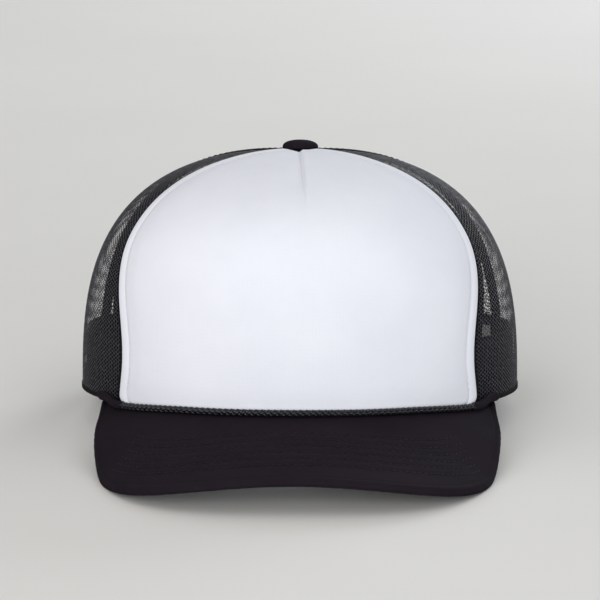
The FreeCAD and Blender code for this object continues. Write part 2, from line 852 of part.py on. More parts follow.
report_places()
for part in sub_parts:
    print(part.Label, round(part.Shape.Volume, 1), len(part.Shape.Solids))
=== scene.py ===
"""Looks of the five-panel cap: netting, padded front, visor, braided rope, stitching, light and camera."""
import json
import math

import bmesh
import bpy
import numpy as np
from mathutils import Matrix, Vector


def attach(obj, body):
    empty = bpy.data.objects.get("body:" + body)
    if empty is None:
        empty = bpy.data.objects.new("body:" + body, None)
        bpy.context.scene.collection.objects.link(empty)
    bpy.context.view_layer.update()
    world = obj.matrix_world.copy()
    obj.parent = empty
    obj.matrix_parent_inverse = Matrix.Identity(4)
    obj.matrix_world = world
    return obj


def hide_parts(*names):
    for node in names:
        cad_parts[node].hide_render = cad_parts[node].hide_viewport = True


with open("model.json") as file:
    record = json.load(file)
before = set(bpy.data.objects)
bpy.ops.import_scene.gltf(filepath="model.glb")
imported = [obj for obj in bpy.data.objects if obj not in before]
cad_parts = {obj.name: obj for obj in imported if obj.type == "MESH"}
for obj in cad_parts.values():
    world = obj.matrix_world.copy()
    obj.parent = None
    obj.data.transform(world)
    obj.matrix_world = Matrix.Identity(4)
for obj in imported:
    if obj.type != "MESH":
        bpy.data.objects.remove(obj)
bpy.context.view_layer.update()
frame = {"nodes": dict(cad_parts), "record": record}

# Lengths are millimetres in the rim frame: origin at the rim's centre, visor towards -Y, +Z up the
# crown's axis. placed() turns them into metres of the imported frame. Azimuths are degrees about the
# crown's axis, 0 in front and positive towards +X. A ray is an elevation from the rim's centre.
# A depth goes inwards from the crown's reference surface.

MM = 0.001
FRAME_WIDTH = 258.6
RIM_HALF_WIDTH, RIM_HALF_LENGTH, CROWN_HEIGHT = 94.0, 99.0, 103.0
WALL_POWERS = dict(side=2.6, front=1.65, back=2.4)
TOP_POWERS = dict(side=2.9, front=6.0, back=2.3)
RIM_SIDE_HEIGHT, RIM_FRONT_BOW = 1.25, 1.75
FRONT_SEAM, SEAM_FOOT, SEAM_SPREAD, SEAM_TOP = 51.4, 1.3, 5.8, 3.0
SIDE_SEAM, SIDE_SEAM_SWEEP = 110.0, 6.0
GAP = 0.3

FOAM_PROUD, FOAM_BACK, FOAM_TOP_RAY = 1.0, 2.5, 85.0
FOAM_ROLL, FOAM_CORNER, BORDER_STITCH = 2.4, 3.6, 6.3
SETTLE_MOST, SETTLE_SOFTNESS = 0.7, 4.0
NET_TOP_RAY, NET_DEPTH, NET_THICKNESS = 86.5, 0.4, 0.2
HOLE_ROW, HOLE_COLUMN, HOLE_SHARE = 1.68, 1.52, 0.71
NET_EDGE, FRONT_NET_EDGE = 2.2, 1.0
BAND_TOP_RAY, BAND_END, BAND_THICKNESS = 15.0, 149.5, 1.5
ARCH_RADIUS, ARCH_STRAIGHT, BINDING_WIDTH = 46.0, 6.0, 5.0
TAPE_DEPTH, TAPE_THICKNESS, TAPE_TOP_RAY = 1.05, 0.5, 82.0
TAPE_HALF, FRONT_TAPE_WIDTH = 4.5, 7.2

VISOR_LENGTH, VISOR_HALF_WIDTH, VISOR_SIDE_START = 68.0, 84.0, 50.0
VISOR_POWER, VISOR_END, VISOR_TUCK = 3.2, 60.0, 2.6
VISOR_REACH = RIM_HALF_LENGTH + VISOR_LENGTH - VISOR_SIDE_START
VISOR_ROOT, VISOR_SLOPE = 1.9, 0.228
VISOR_ARCH, VISOR_ARCH_GROWTH, VISOR_CORNER_DROP = 0.00127, 0.0009, 1.17e-7
VISOR_CORNER_INSET, VISOR_CORNER_LIFT = 0.018, 1.6
COVER, BOARD, LAYER_GAP = 0.6, 1.7, 0.1
ROW_FIRST, ROW_PITCH, ROW_COUNT = 19.2, 6.7, 6
ROW_END, ROW_SPREAD = 66.0, 1.7

STITCH_LENGTH, STITCH_GAP = 2.3, 0.5
STITCH_PITCH = STITCH_LENGTH + STITCH_GAP

ROPE_RADIUS, ROPE_END, TUCK_START, TUCK_END = 1.5, 50.8, 49.2, 62.5
ROPE_LAY, STRANDS_EACH_WAY = 7.8, 3
STRAND_HALF_WIDTH, STRAND_HALF_THICKNESS = 0.6, 0.42
BUTTON_HEIGHT, BUTTON_SEAT = 3.75, CROWN_HEIGHT + 0.3
BUTTON_PROFILE = [(5.6, 0.0), (7.0, 0.0), (7.45, 0.25), (7.6, 0.8), (7.5, 1.35), (7.15, 1.95), (6.5, 2.5),
                  (5.6, 2.95), (4.5, 3.3), (3.3, 3.54), (2.1, 3.68), (1.0, 3.74), (0.25, BUTTON_HEIGHT)]

# Camera, in millimetres and degrees about the rim's centre, and the lamps, in metres and watts.
VIEW_DISTANCE, VIEW_HEIGHT, VIEW_ELEVATION, VIEW_AZIMUTH = 1700.0, 37.8, 6.5, 0.7
LIT_PLACE = (0.0, 0.0, 0.06)
LAMPS = [
    dict(name="key", place=(-0.6, -2.0, 0.55), width=1.2, power=21.8, colour=(1.0, 0.99, 0.965)),
    dict(name="fill", place=(0.9, -1.9, 0.4), width=1.2, power=10.1, colour=(0.9, 0.94, 1.0)),
    dict(name="back", place=(1.0, 1.7, 0.9), width=1.0, power=13.0, colour=(0.9, 0.95, 1.0)),
]
FLOOR_SIDES = 96
FLOOR_PROFILE = [(0.3, 0.0), (2.7, 0.0), (3.0, 0.02), (3.4, 0.1), (3.8, 0.24), (4.2, 0.44), (4.7, 0.8),
                 (5.3, 1.5), (6.0, 2.8)]

rim_mount = frame["record"]["mounts"][0]
RIM_CENTRE = np.array(rim_mount["pos_m"])
UP = -np.array(rim_mount["axis"])
BACKWARD = np.array([0.0, UP[2], -UP[1]])
SIDEWAYS = np.array([1.0, 0.0, 0.0])

random = np.random.default_rng(7)


def placed(points):
    """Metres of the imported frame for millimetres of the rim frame."""
    points = np.asarray(points, float) * MM
    return (RIM_CENTRE + points[..., 0:1] * SIDEWAYS + points[..., 1:2] * BACKWARD
            + points[..., 2:3] * UP)


def eased(value, start, end):
    share = np.clip((value - start) / (end - start), 0.0, 1.0)
    return share * share * (3 - 2 * share)


def bump(value, middle, width):
    """Bell of height 1 about the middle."""
    return np.exp(-((value - middle) / width) ** 2)


def unit(vectors):
    return vectors / np.maximum(np.linalg.norm(vectors, axis=-1, keepdims=True), 1e-9)


def run_along(points):
    """Distances along a line of points, from its first one."""
    return np.concatenate([[0.0], np.cumsum(np.linalg.norm(np.diff(points, axis=0), axis=-1))])


def sideways_and_up(line):
    """Unit vectors across a line: one level, and one square to it."""
    tangent = unit(np.gradient(line, axis=0))
    side = unit(np.cross(tangent, [0, 0, 1.0]))
    return side, np.cross(side, tangent)


def between_points(values, row, column, part):
    """Value at fractional places of a grid; part turns a place's share of a cell into its weight."""
    low = np.clip(row.astype(int), 0, values.shape[0] - 2)
    near = np.clip(column.astype(int), 0, values.shape[1] - 2)
    up, across = part(row - low), part(column - near)
    lower = values[low, near] * (1 - across) + values[low, near + 1] * across
    upper = values[low + 1, near] * (1 - across) + values[low + 1, near + 1] * across
    return lower * (1 - up) + upper * up


# ---------------------------------------------------------------- crown and visor surfaces

def blended_power(powers, azimuth):
    facing = np.cos(np.radians(azimuth))
    end = np.where(facing > 0, powers["front"], powers["back"])
    return powers["side"] + (end - powers["side"]) * facing ** 2


def unit_profile(azimuth, ray):
    """Unit radius and height where the ray meets the crown's profile, by bisection."""
    wall = blended_power(WALL_POWERS, azimuth)
    top = blended_power(TOP_POWERS, azimuth)
    across = np.cos(np.radians(ray))
    up = np.sin(np.radians(ray))
    near = np.full(np.shape(azimuth), 0.5)
    far = np.full(np.shape(azimuth), 1.6)
    for _ in range(30):
        middle = (near + far) / 2
        outside = (middle * across) ** wall + (middle * np.abs(up)) ** top > 1
        far = np.where(outside, middle, far)
        near = np.where(outside, near, middle)
    return near * across, near * up


def rim_height(azimuth):
    """The rim bows up over the visor, stays a little raised at the sides and is low at the back."""
    turn = np.abs(azimuth)
    bow = RIM_FRONT_BOW * np.cos(np.radians(1.5 * np.minimum(turn, 60)))
    return bow + RIM_SIDE_HEIGHT * (1 - eased(turn, 85, 130))


def crown_base(azimuth, ray):
    radius, height = unit_profile(azimuth, ray)
    turn = np.radians(azimuth)
    lift = rim_height(azimuth) * (1 - np.clip(height, 0, 1)) ** 2
    return np.stack([RIM_HALF_WIDTH * radius * np.sin(turn), -RIM_HALF_LENGTH * radius * np.cos(turn),
                     CROWN_HEIGHT * height + lift], axis=-1)


def crown_normal(azimuth, ray):
    """Unit vector into the cap."""
    step = 0.05
    along = crown_base(azimuth + step, ray) - crown_base(azimuth - step, ray)
    upward = crown_base(azimuth, ray + step) - crown_base(azimuth, ray - step)
    return unit(np.cross(upward, along))


def crown(azimuth, ray, depth):
    """Points at a depth below the crown's reference surface."""
    azimuth, ray, depth = np.broadcast_arrays(
        np.asarray(azimuth, float), np.asarray(ray, float), np.asarray(depth, float))
    return crown_base(azimuth, ray) + crown_normal(azimuth, ray) * depth[..., None]


def crown_radius(azimuth, ray):
    azimuth, ray = np.broadcast_arrays(np.asarray(azimuth, float), np.asarray(ray, float))
    point = crown_base(azimuth, ray)
    return np.maximum(np.hypot(point[..., 0], point[..., 1]), 4.0)


def turn_for(distance, azimuth, ray):
    """Degrees of azimuth that a distance along the surface takes."""
    return np.degrees(distance / crown_radius(azimuth, ray))


def front_seam(ray):
    """It is narrowest a little above the rim and flares out at its foot, its middle and its top."""
    share = np.asarray(ray, float) / 90
    return (FRONT_SEAM + SEAM_FOOT * (1 - eased(share, 0.0, 0.12))
            + SEAM_SPREAD * eased(share, 0.13, 0.42) + SEAM_TOP * eased(share, 0.7, 0.95))


def side_seam(ray):
    return SIDE_SEAM + SIDE_SEAM_SWEEP * np.asarray(ray, float) / 90


def meridian(azimuth):
    """Edge that keeps to one azimuth."""
    return lambda ray: azimuth + 0 * np.asarray(ray, float)


back_seam = meridian(180.0)


def beside(seam, offset):
    """Edge that runs a distance beside a seam, as azimuths by ray."""
    return lambda ray: seam(ray) + turn_for(offset, seam(ray), ray)


def visor_inner(share):
    turn = np.radians(share * VISOR_END)
    return np.stack([(RIM_HALF_WIDTH - VISOR_TUCK) * np.sin(turn),
                     -(RIM_HALF_LENGTH - VISOR_TUCK) * np.cos(turn)], axis=-1)


def visor_outer(share):
    turn = np.radians(share * 90)
    across = np.abs(np.sin(turn)) / VISOR_HALF_WIDTH
    forward = np.abs(np.cos(turn)) / VISOR_REACH
    radius = (across ** VISOR_POWER + forward ** VISOR_POWER) ** (-1 / VISOR_POWER)
    drawn_in = 1 - VISOR_CORNER_INSET * eased(np.abs(share), 0.8, 1.0)
    return np.stack([radius * np.sin(turn) * drawn_in, -VISOR_SIDE_START - radius * np.cos(turn)], axis=-1)


def visor_height(x, y):
    ahead = -y - RIM_HALF_LENGTH
    arch = VISOR_ARCH + VISOR_ARCH_GROWTH * eased(ahead, -12, 24)
    lift = VISOR_CORNER_LIFT * eased(np.abs(x), 79.5, 83.0) * (1 - eased(ahead, -48, -34))
    return VISOR_ROOT - VISOR_SLOPE * ahead - arch * x ** 2 - VISOR_CORNER_DROP * x ** 4 + lift


def visor(share, reach, depth):
    """Points of the visor: reach is 0 at the root and 1 at the outline, depth is downwards."""
    share, reach, depth = np.broadcast_arrays(
        np.asarray(share, float), np.asarray(reach, float), np.asarray(depth, float))
    inner, outer = visor_inner(share), visor_outer(share)
    plan = inner + (outer - inner) * reach[..., None]
    x, y = plan[..., 0], plan[..., 1]
    return np.stack([x, y, visor_height(x, y) - depth], axis=-1)


# ---------------------------------------------------------------- meshes from grids
# A geometry is (points, faces, coordinates): millimetre points, a list of index arrays with one
# array for each number of corners, and cloth coordinates in metres.

def cloth_coordinates(grid):
    """Distances along both ways of a grid, in metres, zero on its middle column."""
    across = np.linalg.norm(np.diff(grid, axis=0), axis=-1)
    across = np.concatenate([np.zeros((1, grid.shape[1])), np.cumsum(across, axis=0)])
    across = across - across[grid.shape[0] // 2]
    up = np.linalg.norm(np.diff(grid, axis=1), axis=-1).mean(axis=0)
    up = np.concatenate([[0.0], np.cumsum(up)])
    return np.stack([across, np.broadcast_to(up, across.shape)], axis=-1) * MM


def grid_quads(count_across, count_up, start=0):
    index = start + np.arange(count_across * count_up).reshape(count_across, count_up)
    return np.stack([index[:-1, :-1], index[1:, :-1], index[1:, 1:], index[:-1, 1:]],
                    axis=-1).reshape(-1, 4)


def shell(outer, inner):
    """Closed solid between two matching grids of points."""
    across, up = outer.shape[:2]
    total = across * up
    index = np.arange(total).reshape(across, up)
    loop = np.concatenate([index[:, 0], index[-1, 1:], index[-2::-1, -1], index[0, -2:0:-1]])
    following = np.roll(loop, -1)
    walls = np.stack([loop, loop + total, following + total, following], axis=-1)
    faces = [grid_quads(across, up), grid_quads(across, up, total)[:, ::-1], walls]
    points = np.concatenate([outer.reshape(-1, 3), inner.reshape(-1, 3)])
    flat = cloth_coordinates(outer).reshape(-1, 2)
    return points, faces, np.concatenate([flat, flat])


def tube(rings):
    """Closed solid along rings of points, with a cap at each end."""
    count, sides = rings.shape[:2]
    index = np.arange(count * sides).reshape(count, sides)
    beside_it = np.roll(index, -1, axis=1)
    walls = np.stack([index[:-1], beside_it[:-1], beside_it[1:], index[1:]], axis=-1).reshape(-1, 4)
    caps = np.stack([index[0, ::-1], index[-1]])
    along = np.broadcast_to(run_along(rings.mean(axis=1))[:, None], (count, sides))
    girth = np.linalg.norm(rings[:, 0] - rings[:, sides // 2], axis=-1).mean() * math.pi
    around = np.broadcast_to(np.arange(sides) / sides * girth, (count, sides))
    return rings.reshape(-1, 3), [walls, caps], np.stack([around, along], axis=-1).reshape(-1, 2) * MM


def round_tube(line, broad, outward, half_width, half_thickness, sides=8):
    """Tube of elliptical section along a line."""
    turns = np.radians(np.arange(sides) * 360 / sides)
    return tube(np.stack([line + broad * half_width * math.cos(turn)
                          + outward * half_thickness * math.sin(turn) for turn in turns], axis=1))


def merged(*geometries):
    points, faces, flats, start = [], [], [], 0
    for own_points, own_faces, own_flats in geometries:
        points.append(own_points)
        flats.append(own_flats)
        faces.extend(face + start for face in own_faces)
        start += len(own_points)
    return np.concatenate(points), faces, np.concatenate(flats)


def mirrored(geometry):
    points, faces, flat = geometry
    return points * [-1, 1, 1], [face[:, ::-1] for face in faces], flat


SIDES = {"right": lambda geometry: geometry, "left": mirrored}


def build(name, geometry, material, replaced=(), body="cap", sharp=50.0):
    """Blender object of a geometry, riding on a body in place of CAD nodes."""
    points, faces, flat = geometry
    mesh = bpy.data.meshes.new(name)
    corners = np.concatenate([face.ravel() for face in faces])
    counts = np.concatenate([np.full(len(face), face.shape[1]) for face in faces])
    mesh.vertices.add(len(points))
    mesh.vertices.foreach_set("co", placed(points).ravel())
    mesh.loops.add(len(corners))
    mesh.loops.foreach_set("vertex_index", corners)
    mesh.polygons.add(len(counts))
    mesh.polygons.foreach_set("loop_start", np.cumsum(counts) - counts)
    mesh.polygons.foreach_set("use_smooth", np.ones(len(counts), bool))
    layer = mesh.uv_layers.new(name="cloth")
    layer.data.foreach_set("uv", flat[corners].ravel())
    mesh.update(calc_edges=True)
    mesh.validate()
    form = bmesh.new()
    form.from_mesh(mesh)
    bmesh.ops.recalc_face_normals(form, faces=form.faces)
    form.to_mesh(mesh)
    form.free()
    if sharp:
        mesh.set_sharp_from_angle(angle=math.radians(sharp))
    mesh.materials.append(material)
    piece = bpy.data.objects.new(name, mesh)
    bpy.context.scene.collection.objects.link(piece)
    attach(piece, body)
    if replaced:
        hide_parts(*replaced)
    return piece


def patch(left, right, rays, outer, inner, across=9):
    """Closed layer of the crown between two edges and two depths, each a number or a function."""
    rays = np.asarray(rays, float)
    share = np.linspace(0.0, 1.0, across)[:, None]
    azimuth = left(rays) + (right(rays) - left(rays)) * share
    ray = np.broadcast_to(rays, azimuth.shape)
    depths = [depth(azimuth, ray) if callable(depth) else depth for depth in (outer, inner)]
    return shell(crown(azimuth, ray, depths[0]), crown(azimuth, ray, depths[1]))


# ---------------------------------------------------------------- stitches

def stitches(path, outward, width=0.36, height=0.3, sink=0.25):
    """Row of thread stitches along a dense path on a surface with these outward normals."""
    steps = run_along(path)
    count = max(int((steps[-1] - STITCH_GAP) // STITCH_PITCH), 1)
    spare = (steps[-1] - count * STITCH_PITCH + STITCH_GAP) / 2
    starts = spare + np.arange(count) * STITCH_PITCH
    shares = np.array([0.0, 0.12, 0.32, 0.5, 0.68, 0.88, 1.0])
    lifts = np.array([-1.0, -0.2, 0.7, 1.0, 0.7, -0.2, -1.0])
    at = starts[:, None] + shares * STITCH_LENGTH

    def along(values):
        return np.stack([np.interp(at, steps, values[:, k]) for k in range(3)], axis=-1)
    centre, normal = along(path), unit(along(outward))
    tangent = unit(np.gradient(centre, axis=1))
    side = unit(np.cross(tangent, normal))
    centre = centre + normal * (lifts * sink + 0.05)[None, :, None]
    thick = np.array([0.45, 0.85, 1.0, 1.0, 1.0, 0.85, 0.45])[None, :, None]
    turns = np.radians(np.arange(6) * 60 + 30)
    rings = np.stack([centre + side * thick * width * math.cos(turn)
                      + normal * thick * height * math.sin(turn) for turn in turns], axis=2)
    return merged(*[tube(ring) for ring in rings])


def crown_stitches(azimuth, ray, depth, facing=1, **sizes):
    """Row of stitches along a line of the crown, seen from outside; a negative facing turns it in."""
    azimuth, ray = np.broadcast_arrays(np.asarray(azimuth, float), np.asarray(ray, float))
    return stitches(crown(azimuth, ray, depth), -facing * crown_normal(azimuth, ray), **sizes)


# ---------------------------------------------------------------- materials

def add_node(tree, kind, inputs=None, **settings):
    made = tree.nodes.new(kind)
    for name, value in settings.items():
        setattr(made, name, value)
    for name, value in (inputs or {}).items():
        if isinstance(value, bpy.types.NodeSocket):
            tree.links.new(value, made.inputs[name])
        else:
            made.inputs[name].default_value = value
    return made


def calc(tree, operation, first, second=0.0):
    return add_node(tree, "ShaderNodeMath", {0: first, 1: second}, operation=operation).outputs[0]


def new_material(name, roughness, specular=0.25, sheen=0.0, metallic=0.0):
    material = bpy.data.materials.new(name)
    material.use_nodes = True
    tree = material.node_tree
    shader = tree.nodes["Principled BSDF"]
    shader.inputs["Roughness"].default_value = roughness
    shader.inputs["Specular IOR Level"].default_value = specular
    shader.inputs["Sheen Weight"].default_value = sheen
    shader.inputs["Sheen Roughness"].default_value = 0.45
    shader.inputs["Metallic"].default_value = metallic
    # Reflections of every material are tinted blue: painted reflection colour, standing in for a bluish
    # light that the lamps don't give.
    shader.inputs["Specular Tint"].default_value = (0.9, 0.92, 1.0, 1.0)
    return material, tree, shader


def cloth_axes(tree, pitch_across, pitch_up):
    """Cloth coordinates counted in threads."""
    cloth = add_node(tree, "ShaderNodeUVMap", uv_map="cloth").outputs[0]
    parts = add_node(tree, "ShaderNodeSeparateXYZ", {0: cloth})
    return (calc(tree, "DIVIDE", parts.outputs[0], pitch_across * MM),
            calc(tree, "DIVIDE", parts.outputs[1], pitch_up * MM))


def ribs(tree, axis):
    return calc(tree, "ABSOLUTE", calc(tree, "SINE", calc(tree, "MULTIPLY", axis, math.pi)))


def woven(tree, pitch, repeat):
    """Height of a woven cloth, 0 to 1: repeat 2 is a plain weave, 3 a twill."""
    across, up = cloth_axes(tree, pitch, pitch)
    order = calc(tree, "ADD", calc(tree, "FLOOR", across), calc(tree, "FLOOR", up))
    over = calc(tree, "LESS_THAN", calc(tree, "FLOORED_MODULO", order, float(repeat)), 0.5)
    warp = calc(tree, "MULTIPLY", ribs(tree, across), over)
    weft = calc(tree, "MULTIPLY", ribs(tree, up), calc(tree, "SUBTRACT", 1.0, over))
    return calc(tree, "ADD", warp, weft)


def knitted(tree, pitch):
    """Height of a jersey knit: columns of slanted loops."""
    across, up = cloth_axes(tree, pitch, pitch * 0.8)
    slant = calc(tree, "ADD", up, calc(tree, "MULTIPLY", ribs(tree, across), 0.6))
    return calc(tree, "MULTIPLY", ribs(tree, across), ribs(tree, slant))


def noise(tree, scale, detail=4.0, roughness=0.55):
    spot = add_node(tree, "ShaderNodeTexCoord").outputs["Object"]
    return add_node(tree, "ShaderNodeTexNoise", {"Vector": spot, "Scale": scale, "Detail": detail,
                                                 "Roughness": roughness}).outputs["Fac"]


def toned(tree, shader, value, dark, light, low, high):
    """Base colour that runs between two colours over a range of a value."""
    spread = add_node(tree, "ShaderNodeMapRange", {"Value": value, "From Min": low,
                                                   "From Max": high}).outputs[0]
    mix = add_node(tree, "ShaderNodeMix", {"Factor": spread}, data_type="RGBA")
    mix.inputs[6].default_value = (*dark, 1.0)
    mix.inputs[7].default_value = (*light, 1.0)
    tree.links.new(mix.outputs[2], shader.inputs["Base Color"])


def roughened(tree, shader, value, low, high):
    """Roughness that runs from low to high with a value."""
    spread = add_node(tree, "ShaderNodeMapRange", {"Value": value, "To Min": low, "To Max": high})
    tree.links.new(spread.outputs[0], shader.inputs["Roughness"])


def bumped(tree, shader, height, distance, strength=1.0, under=None):
    inputs = {"Height": height, "Distance": distance * MM, "Strength": strength}
    if under is not None:
        inputs["Normal"] = under
    made = add_node(tree, "ShaderNodeBump", inputs).outputs[0]
    tree.links.new(made, shader.inputs["Normal"])
    return made


def fabric(name, dark, light, weave, pitch, relief, roughness=0.8, specular=0.2, sheen=0.1,
           blotch=45.0, fuzz=2200.0):
    """Cloth with a weave or knit, blotches of tone, a fuzz of fine fibres, and painted shade that darkens
    the dips between threads.
    """
    material, tree, shader = new_material(name, roughness, specular, sheen)
    threads = knitted(tree, pitch) if weave == "knit" else woven(tree, pitch, weave)
    fibres = noise(tree, fuzz, 2.0)
    # Tone mixes random blotches and fibres, which are the cloth's own, with the weave's height, which makes
    # each crest lighter and the dips darker: painted shade.
    tone = calc(tree, "ADD", calc(tree, "MULTIPLY", noise(tree, blotch), 0.6),
                calc(tree, "ADD", calc(tree, "MULTIPLY", threads, 0.25),
                     calc(tree, "MULTIPLY", fibres, 0.15)))
    toned(tree, shader, tone, dark, light, 0.25, 0.75)
    roughened(tree, shader, tone, roughness - 0.12, roughness + 0.1)
    under = bumped(tree, shader, fibres, relief * 0.6, 0.5)
    bumped(tree, shader, threads, relief, 0.8, under)
    return material


def thread_material(name, dark, light, roughness=0.6, specular=0.15, relief=0.12):
    """Twisted sewing thread or cord fibre: fine slanted plies, with painted shade that darkens the grooves
    between them.
    """
    material, tree, shader = new_material(name, roughness, specular)
    around, along = cloth_axes(tree, 0.5, 0.7)
    plies = ribs(tree, calc(tree, "ADD", around, along))
    # Colour follows random noise, which is the thread's own tone, and the plies' height, which gives
    # painted shade in the grooves between plies.
    tone = calc(tree, "ADD", calc(tree, "MULTIPLY", plies, 0.5),
                calc(tree, "MULTIPLY", noise(tree, 300.0), 0.5))
    toned(tree, shader, tone, dark, light, 0.2, 0.8)
    bumped(tree, shader, plies, relief, 0.8)
    return material


def plastic_material(name, dark, light, roughness, specular=0.4):
    """Moulded plastic: fine spark texture, faint flow marks and scuffs."""
    material, tree, shader = new_material(name, roughness, specular)
    grain = noise(tree, 2600.0, 3.0)
    flow = noise(tree, 60.0, 6.0, 0.65)
    toned(tree, shader, flow, dark, light, 0.3, 0.7)
    roughened(tree, shader, flow, roughness - 0.12, roughness + 0.15)
    bumped(tree, shader, grain, 0.05, 0.6)
    return material


def metal_material():
    """Tinned steel: brushed streaks and a few dull spots."""
    material, tree, shader = new_material("button_metal", 0.32, 0.5, metallic=1.0)
    spot = add_node(tree, "ShaderNodeTexCoord").outputs["Object"]
    stretched = add_node(tree, "ShaderNodeMapping", {"Vector": spot, "Scale": (1.0, 12.0, 1.0)})
    streaks = add_node(tree, "ShaderNodeTexNoise", {"Vector": stretched.outputs[0], "Scale": 350.0,
                                                    "Detail": 4.0}).outputs["Fac"]
    toned(tree, shader, streaks, (0.5, 0.5, 0.51), (0.72, 0.72, 0.71), 0.3, 0.7)
    roughened(tree, shader, noise(tree, 180.0), 0.25, 0.5)
    bumped(tree, shader, streaks, 0.02, 0.5)
    return material


# The foam is a slightly blue white; part of that blue is painted shade colour, copying the bluish shade on
# its less lit parts.
FOAM = fabric("front_foam", (0.722, 0.738, 0.82), (0.805, 0.818, 0.888), "knit", 0.7, 0.05,
              0.88, 0.1, 0.0, blotch=30.0)
# Near-black polyester threads; the blue and part of the lightness of their colour are painted sheen,
# standing for the threads' bluish shine.
NET = thread_material("crown_mesh", (0.009, 0.009, 0.012), (0.038, 0.036, 0.048), 0.4, 0.4)
VISOR_CLOTH = fabric("visor_fabric", (0.0095, 0.0075, 0.0105), (0.0175, 0.0125, 0.0185), 3, 0.55, 0.06,
                     0.9, 0.05, 0.0)
TAPE = fabric("tape_fabric", (0.005, 0.005, 0.006), (0.011, 0.010, 0.012), 2, 0.6, 0.06, 0.9, 0.06, 0.0)
BAND = fabric("sweatband_fabric", (0.007, 0.007, 0.008), (0.016, 0.015, 0.017), 2, 0.7, 0.09, 0.9, 0.06,
              0.0)
LABEL = fabric("label_fabric", (0.55, 0.55, 0.54), (0.74, 0.74, 0.72), 2, 0.4, 0.03, 0.6, 0.1, 0.0)
ROPE = thread_material("rope_braid", (0.002, 0.002, 0.003), (0.008, 0.008, 0.012), 0.26, 0.5, 0.05)
WHITE_THREAD = thread_material("thread_white", (0.70, 0.72, 0.75), (0.88, 0.89, 0.90))
BLACK_THREAD = thread_material("thread_black", (0.006, 0.0055, 0.007), (0.020, 0.018, 0.022))
STRAP = plastic_material("strap_plastic", (0.007, 0.007, 0.008), (0.014, 0.014, 0.016), 0.4, 0.3)
BOARD_PLASTIC = plastic_material("visor_board", (0.55, 0.56, 0.57), (0.72, 0.72, 0.72), 0.5)
METAL = metal_material()


# ---------------------------------------------------------------- front panel

def foam_edge(ray):
    """Half width of the padded panel in degrees: it ends beside the seam, with round lower corners."""
    low = crown_base(np.zeros_like(ray), ray)[..., 2] - crown_base(0 * ray, 0 * ray)[..., 2]
    missing = np.clip(1 - low / FOAM_CORNER, 0, 1)
    corner = FOAM_CORNER * (1 - np.sqrt(1 - missing ** 2))
    return beside(front_seam, -GAP)(ray) - turn_for(corner, front_seam(ray), ray)


def foam_depth(distance, above, below_top, along):
    """Depth of the panel's face: rolled edge, stitched groove, and a slight swell inside it."""
    roll_depth, groove_depth, swell_height, border_height = FOAM_PROUD + 1.1, 0.34, 0.5, 0.2
    rolled = 1 - np.clip(np.minimum(distance, below_top) / FOAM_ROLL, 0, 1)
    roll = roll_depth * (1 - np.sqrt(1 - rolled ** 2))
    pucker = 1 + 0.15 * np.cos(2 * np.pi * along / STITCH_PITCH)
    groove = groove_depth * bump(distance, BORDER_STITCH, 1.0) * pucker
    swell = -swell_height * eased(distance, BORDER_STITCH, BORDER_STITCH + 9.0) * eased(above, 0.0, 10.0)
    border = -border_height * bump(distance, 0.55 * BORDER_STITCH, 1.6)
    return -FOAM_PROUD + roll + (groove + swell + border) * eased(below_top, 0, 6.0)


def dart_depth(x, ray):
    """Short sewn fold that runs down from the button and leans to one side."""
    depth, top_offset, lean_per_ray = 0.85, -0.6, 3.6 / 40.0
    offset = x - (top_offset + lean_per_ray * (FOAM_TOP_RAY - ray))
    mouth = eased(ray, 79.0, FOAM_TOP_RAY)
    left = bump(np.minimum(offset, 0.0), 0.0, 3.0)
    ridge = (0.5 - 0.5 * mouth) * bump(offset, 1.7, 1.3)
    right = 1 - eased(offset, 0.0, 1.2 + 2.4 * mouth) - ridge
    crease = 0.3 * bump(offset, 0.1, 0.5)
    return depth * eased(ray, 43.0, 56.0) * (np.where(offset < 0, left, right) + crease)


def settled_face():
    """Swelling of the foam's face from a cloth simulation: pinned at its border, pushed from inside.

    Returns distances outwards on a grid of shares across and rays, smoothly held to SETTLE_MOST.
    """
    shares, rays = np.linspace(-1, 1, 61), np.linspace(0, FOAM_TOP_RAY - 3, 56)
    azimuth = shares[:, None] * foam_edge(rays)
    ray = np.broadcast_to(rays, azimuth.shape)
    face = placed(crown(azimuth, ray, -FOAM_PROUD))
    mesh = bpy.data.meshes.new("settling")
    mesh.from_pydata(face.reshape(-1, 3).tolist(), [], grid_quads(*azimuth.shape).tolist())
    cloth = bpy.data.objects.new("settling", mesh)
    bpy.context.scene.collection.objects.link(cloth)
    index = np.arange(face[..., 0].size).reshape(azimuth.shape)
    border = np.unique(np.concatenate([index[:3].ravel(), index[-3:].ravel(), index[:, :2].ravel(),
                                       index[:, -2:].ravel()]))
    cloth.vertex_groups.new(name="sewn").add(border.tolist(), 1.0, "REPLACE")
    modifier = cloth.modifiers.new("Cloth", "CLOTH")
    settings = modifier.settings
    settings.quality = 5
    settings.mass = 0.15
    settings.tension_stiffness = settings.compression_stiffness = 25.0
    settings.bending_stiffness = 2.0
    settings.vertex_group_mass = "sewn"
    settings.use_pressure = True
    settings.uniform_pressure_force = 1.0
    settings.shrink_min = settings.shrink_max = -0.006
    settings.effector_weights.gravity = 0.0
    modifier.collision_settings.use_collision = False
    for step in range(1, 21):
        bpy.context.scene.frame_set(step)
    settled = cloth.evaluated_get(bpy.context.evaluated_depsgraph_get()).to_mesh()
    place = np.zeros(face.size, np.float32)
    settled.vertices.foreach_get("co", place)
    outward = placed(crown(azimuth, ray, -FOAM_PROUD - 1)) - face
    moved = np.sum((place.reshape(face.shape) - face) * unit(outward), axis=-1) / MM
    bpy.context.scene.frame_set(1)
    bpy.data.objects.remove(cloth)
    return shares, rays, SETTLE_MOST * np.tanh(moved / SETTLE_SOFTNESS)


def sampled(grid, azimuth, ray):
    """Value of a settled grid at places of the panel, between its points."""
    shares, rays, values = grid
    column = np.interp(azimuth / foam_edge(ray), shares, np.arange(len(shares)))
    row = np.interp(ray, rays, np.arange(len(rays)))
    return between_points(values.T, row, column, lambda part: eased(part, 0, 1))


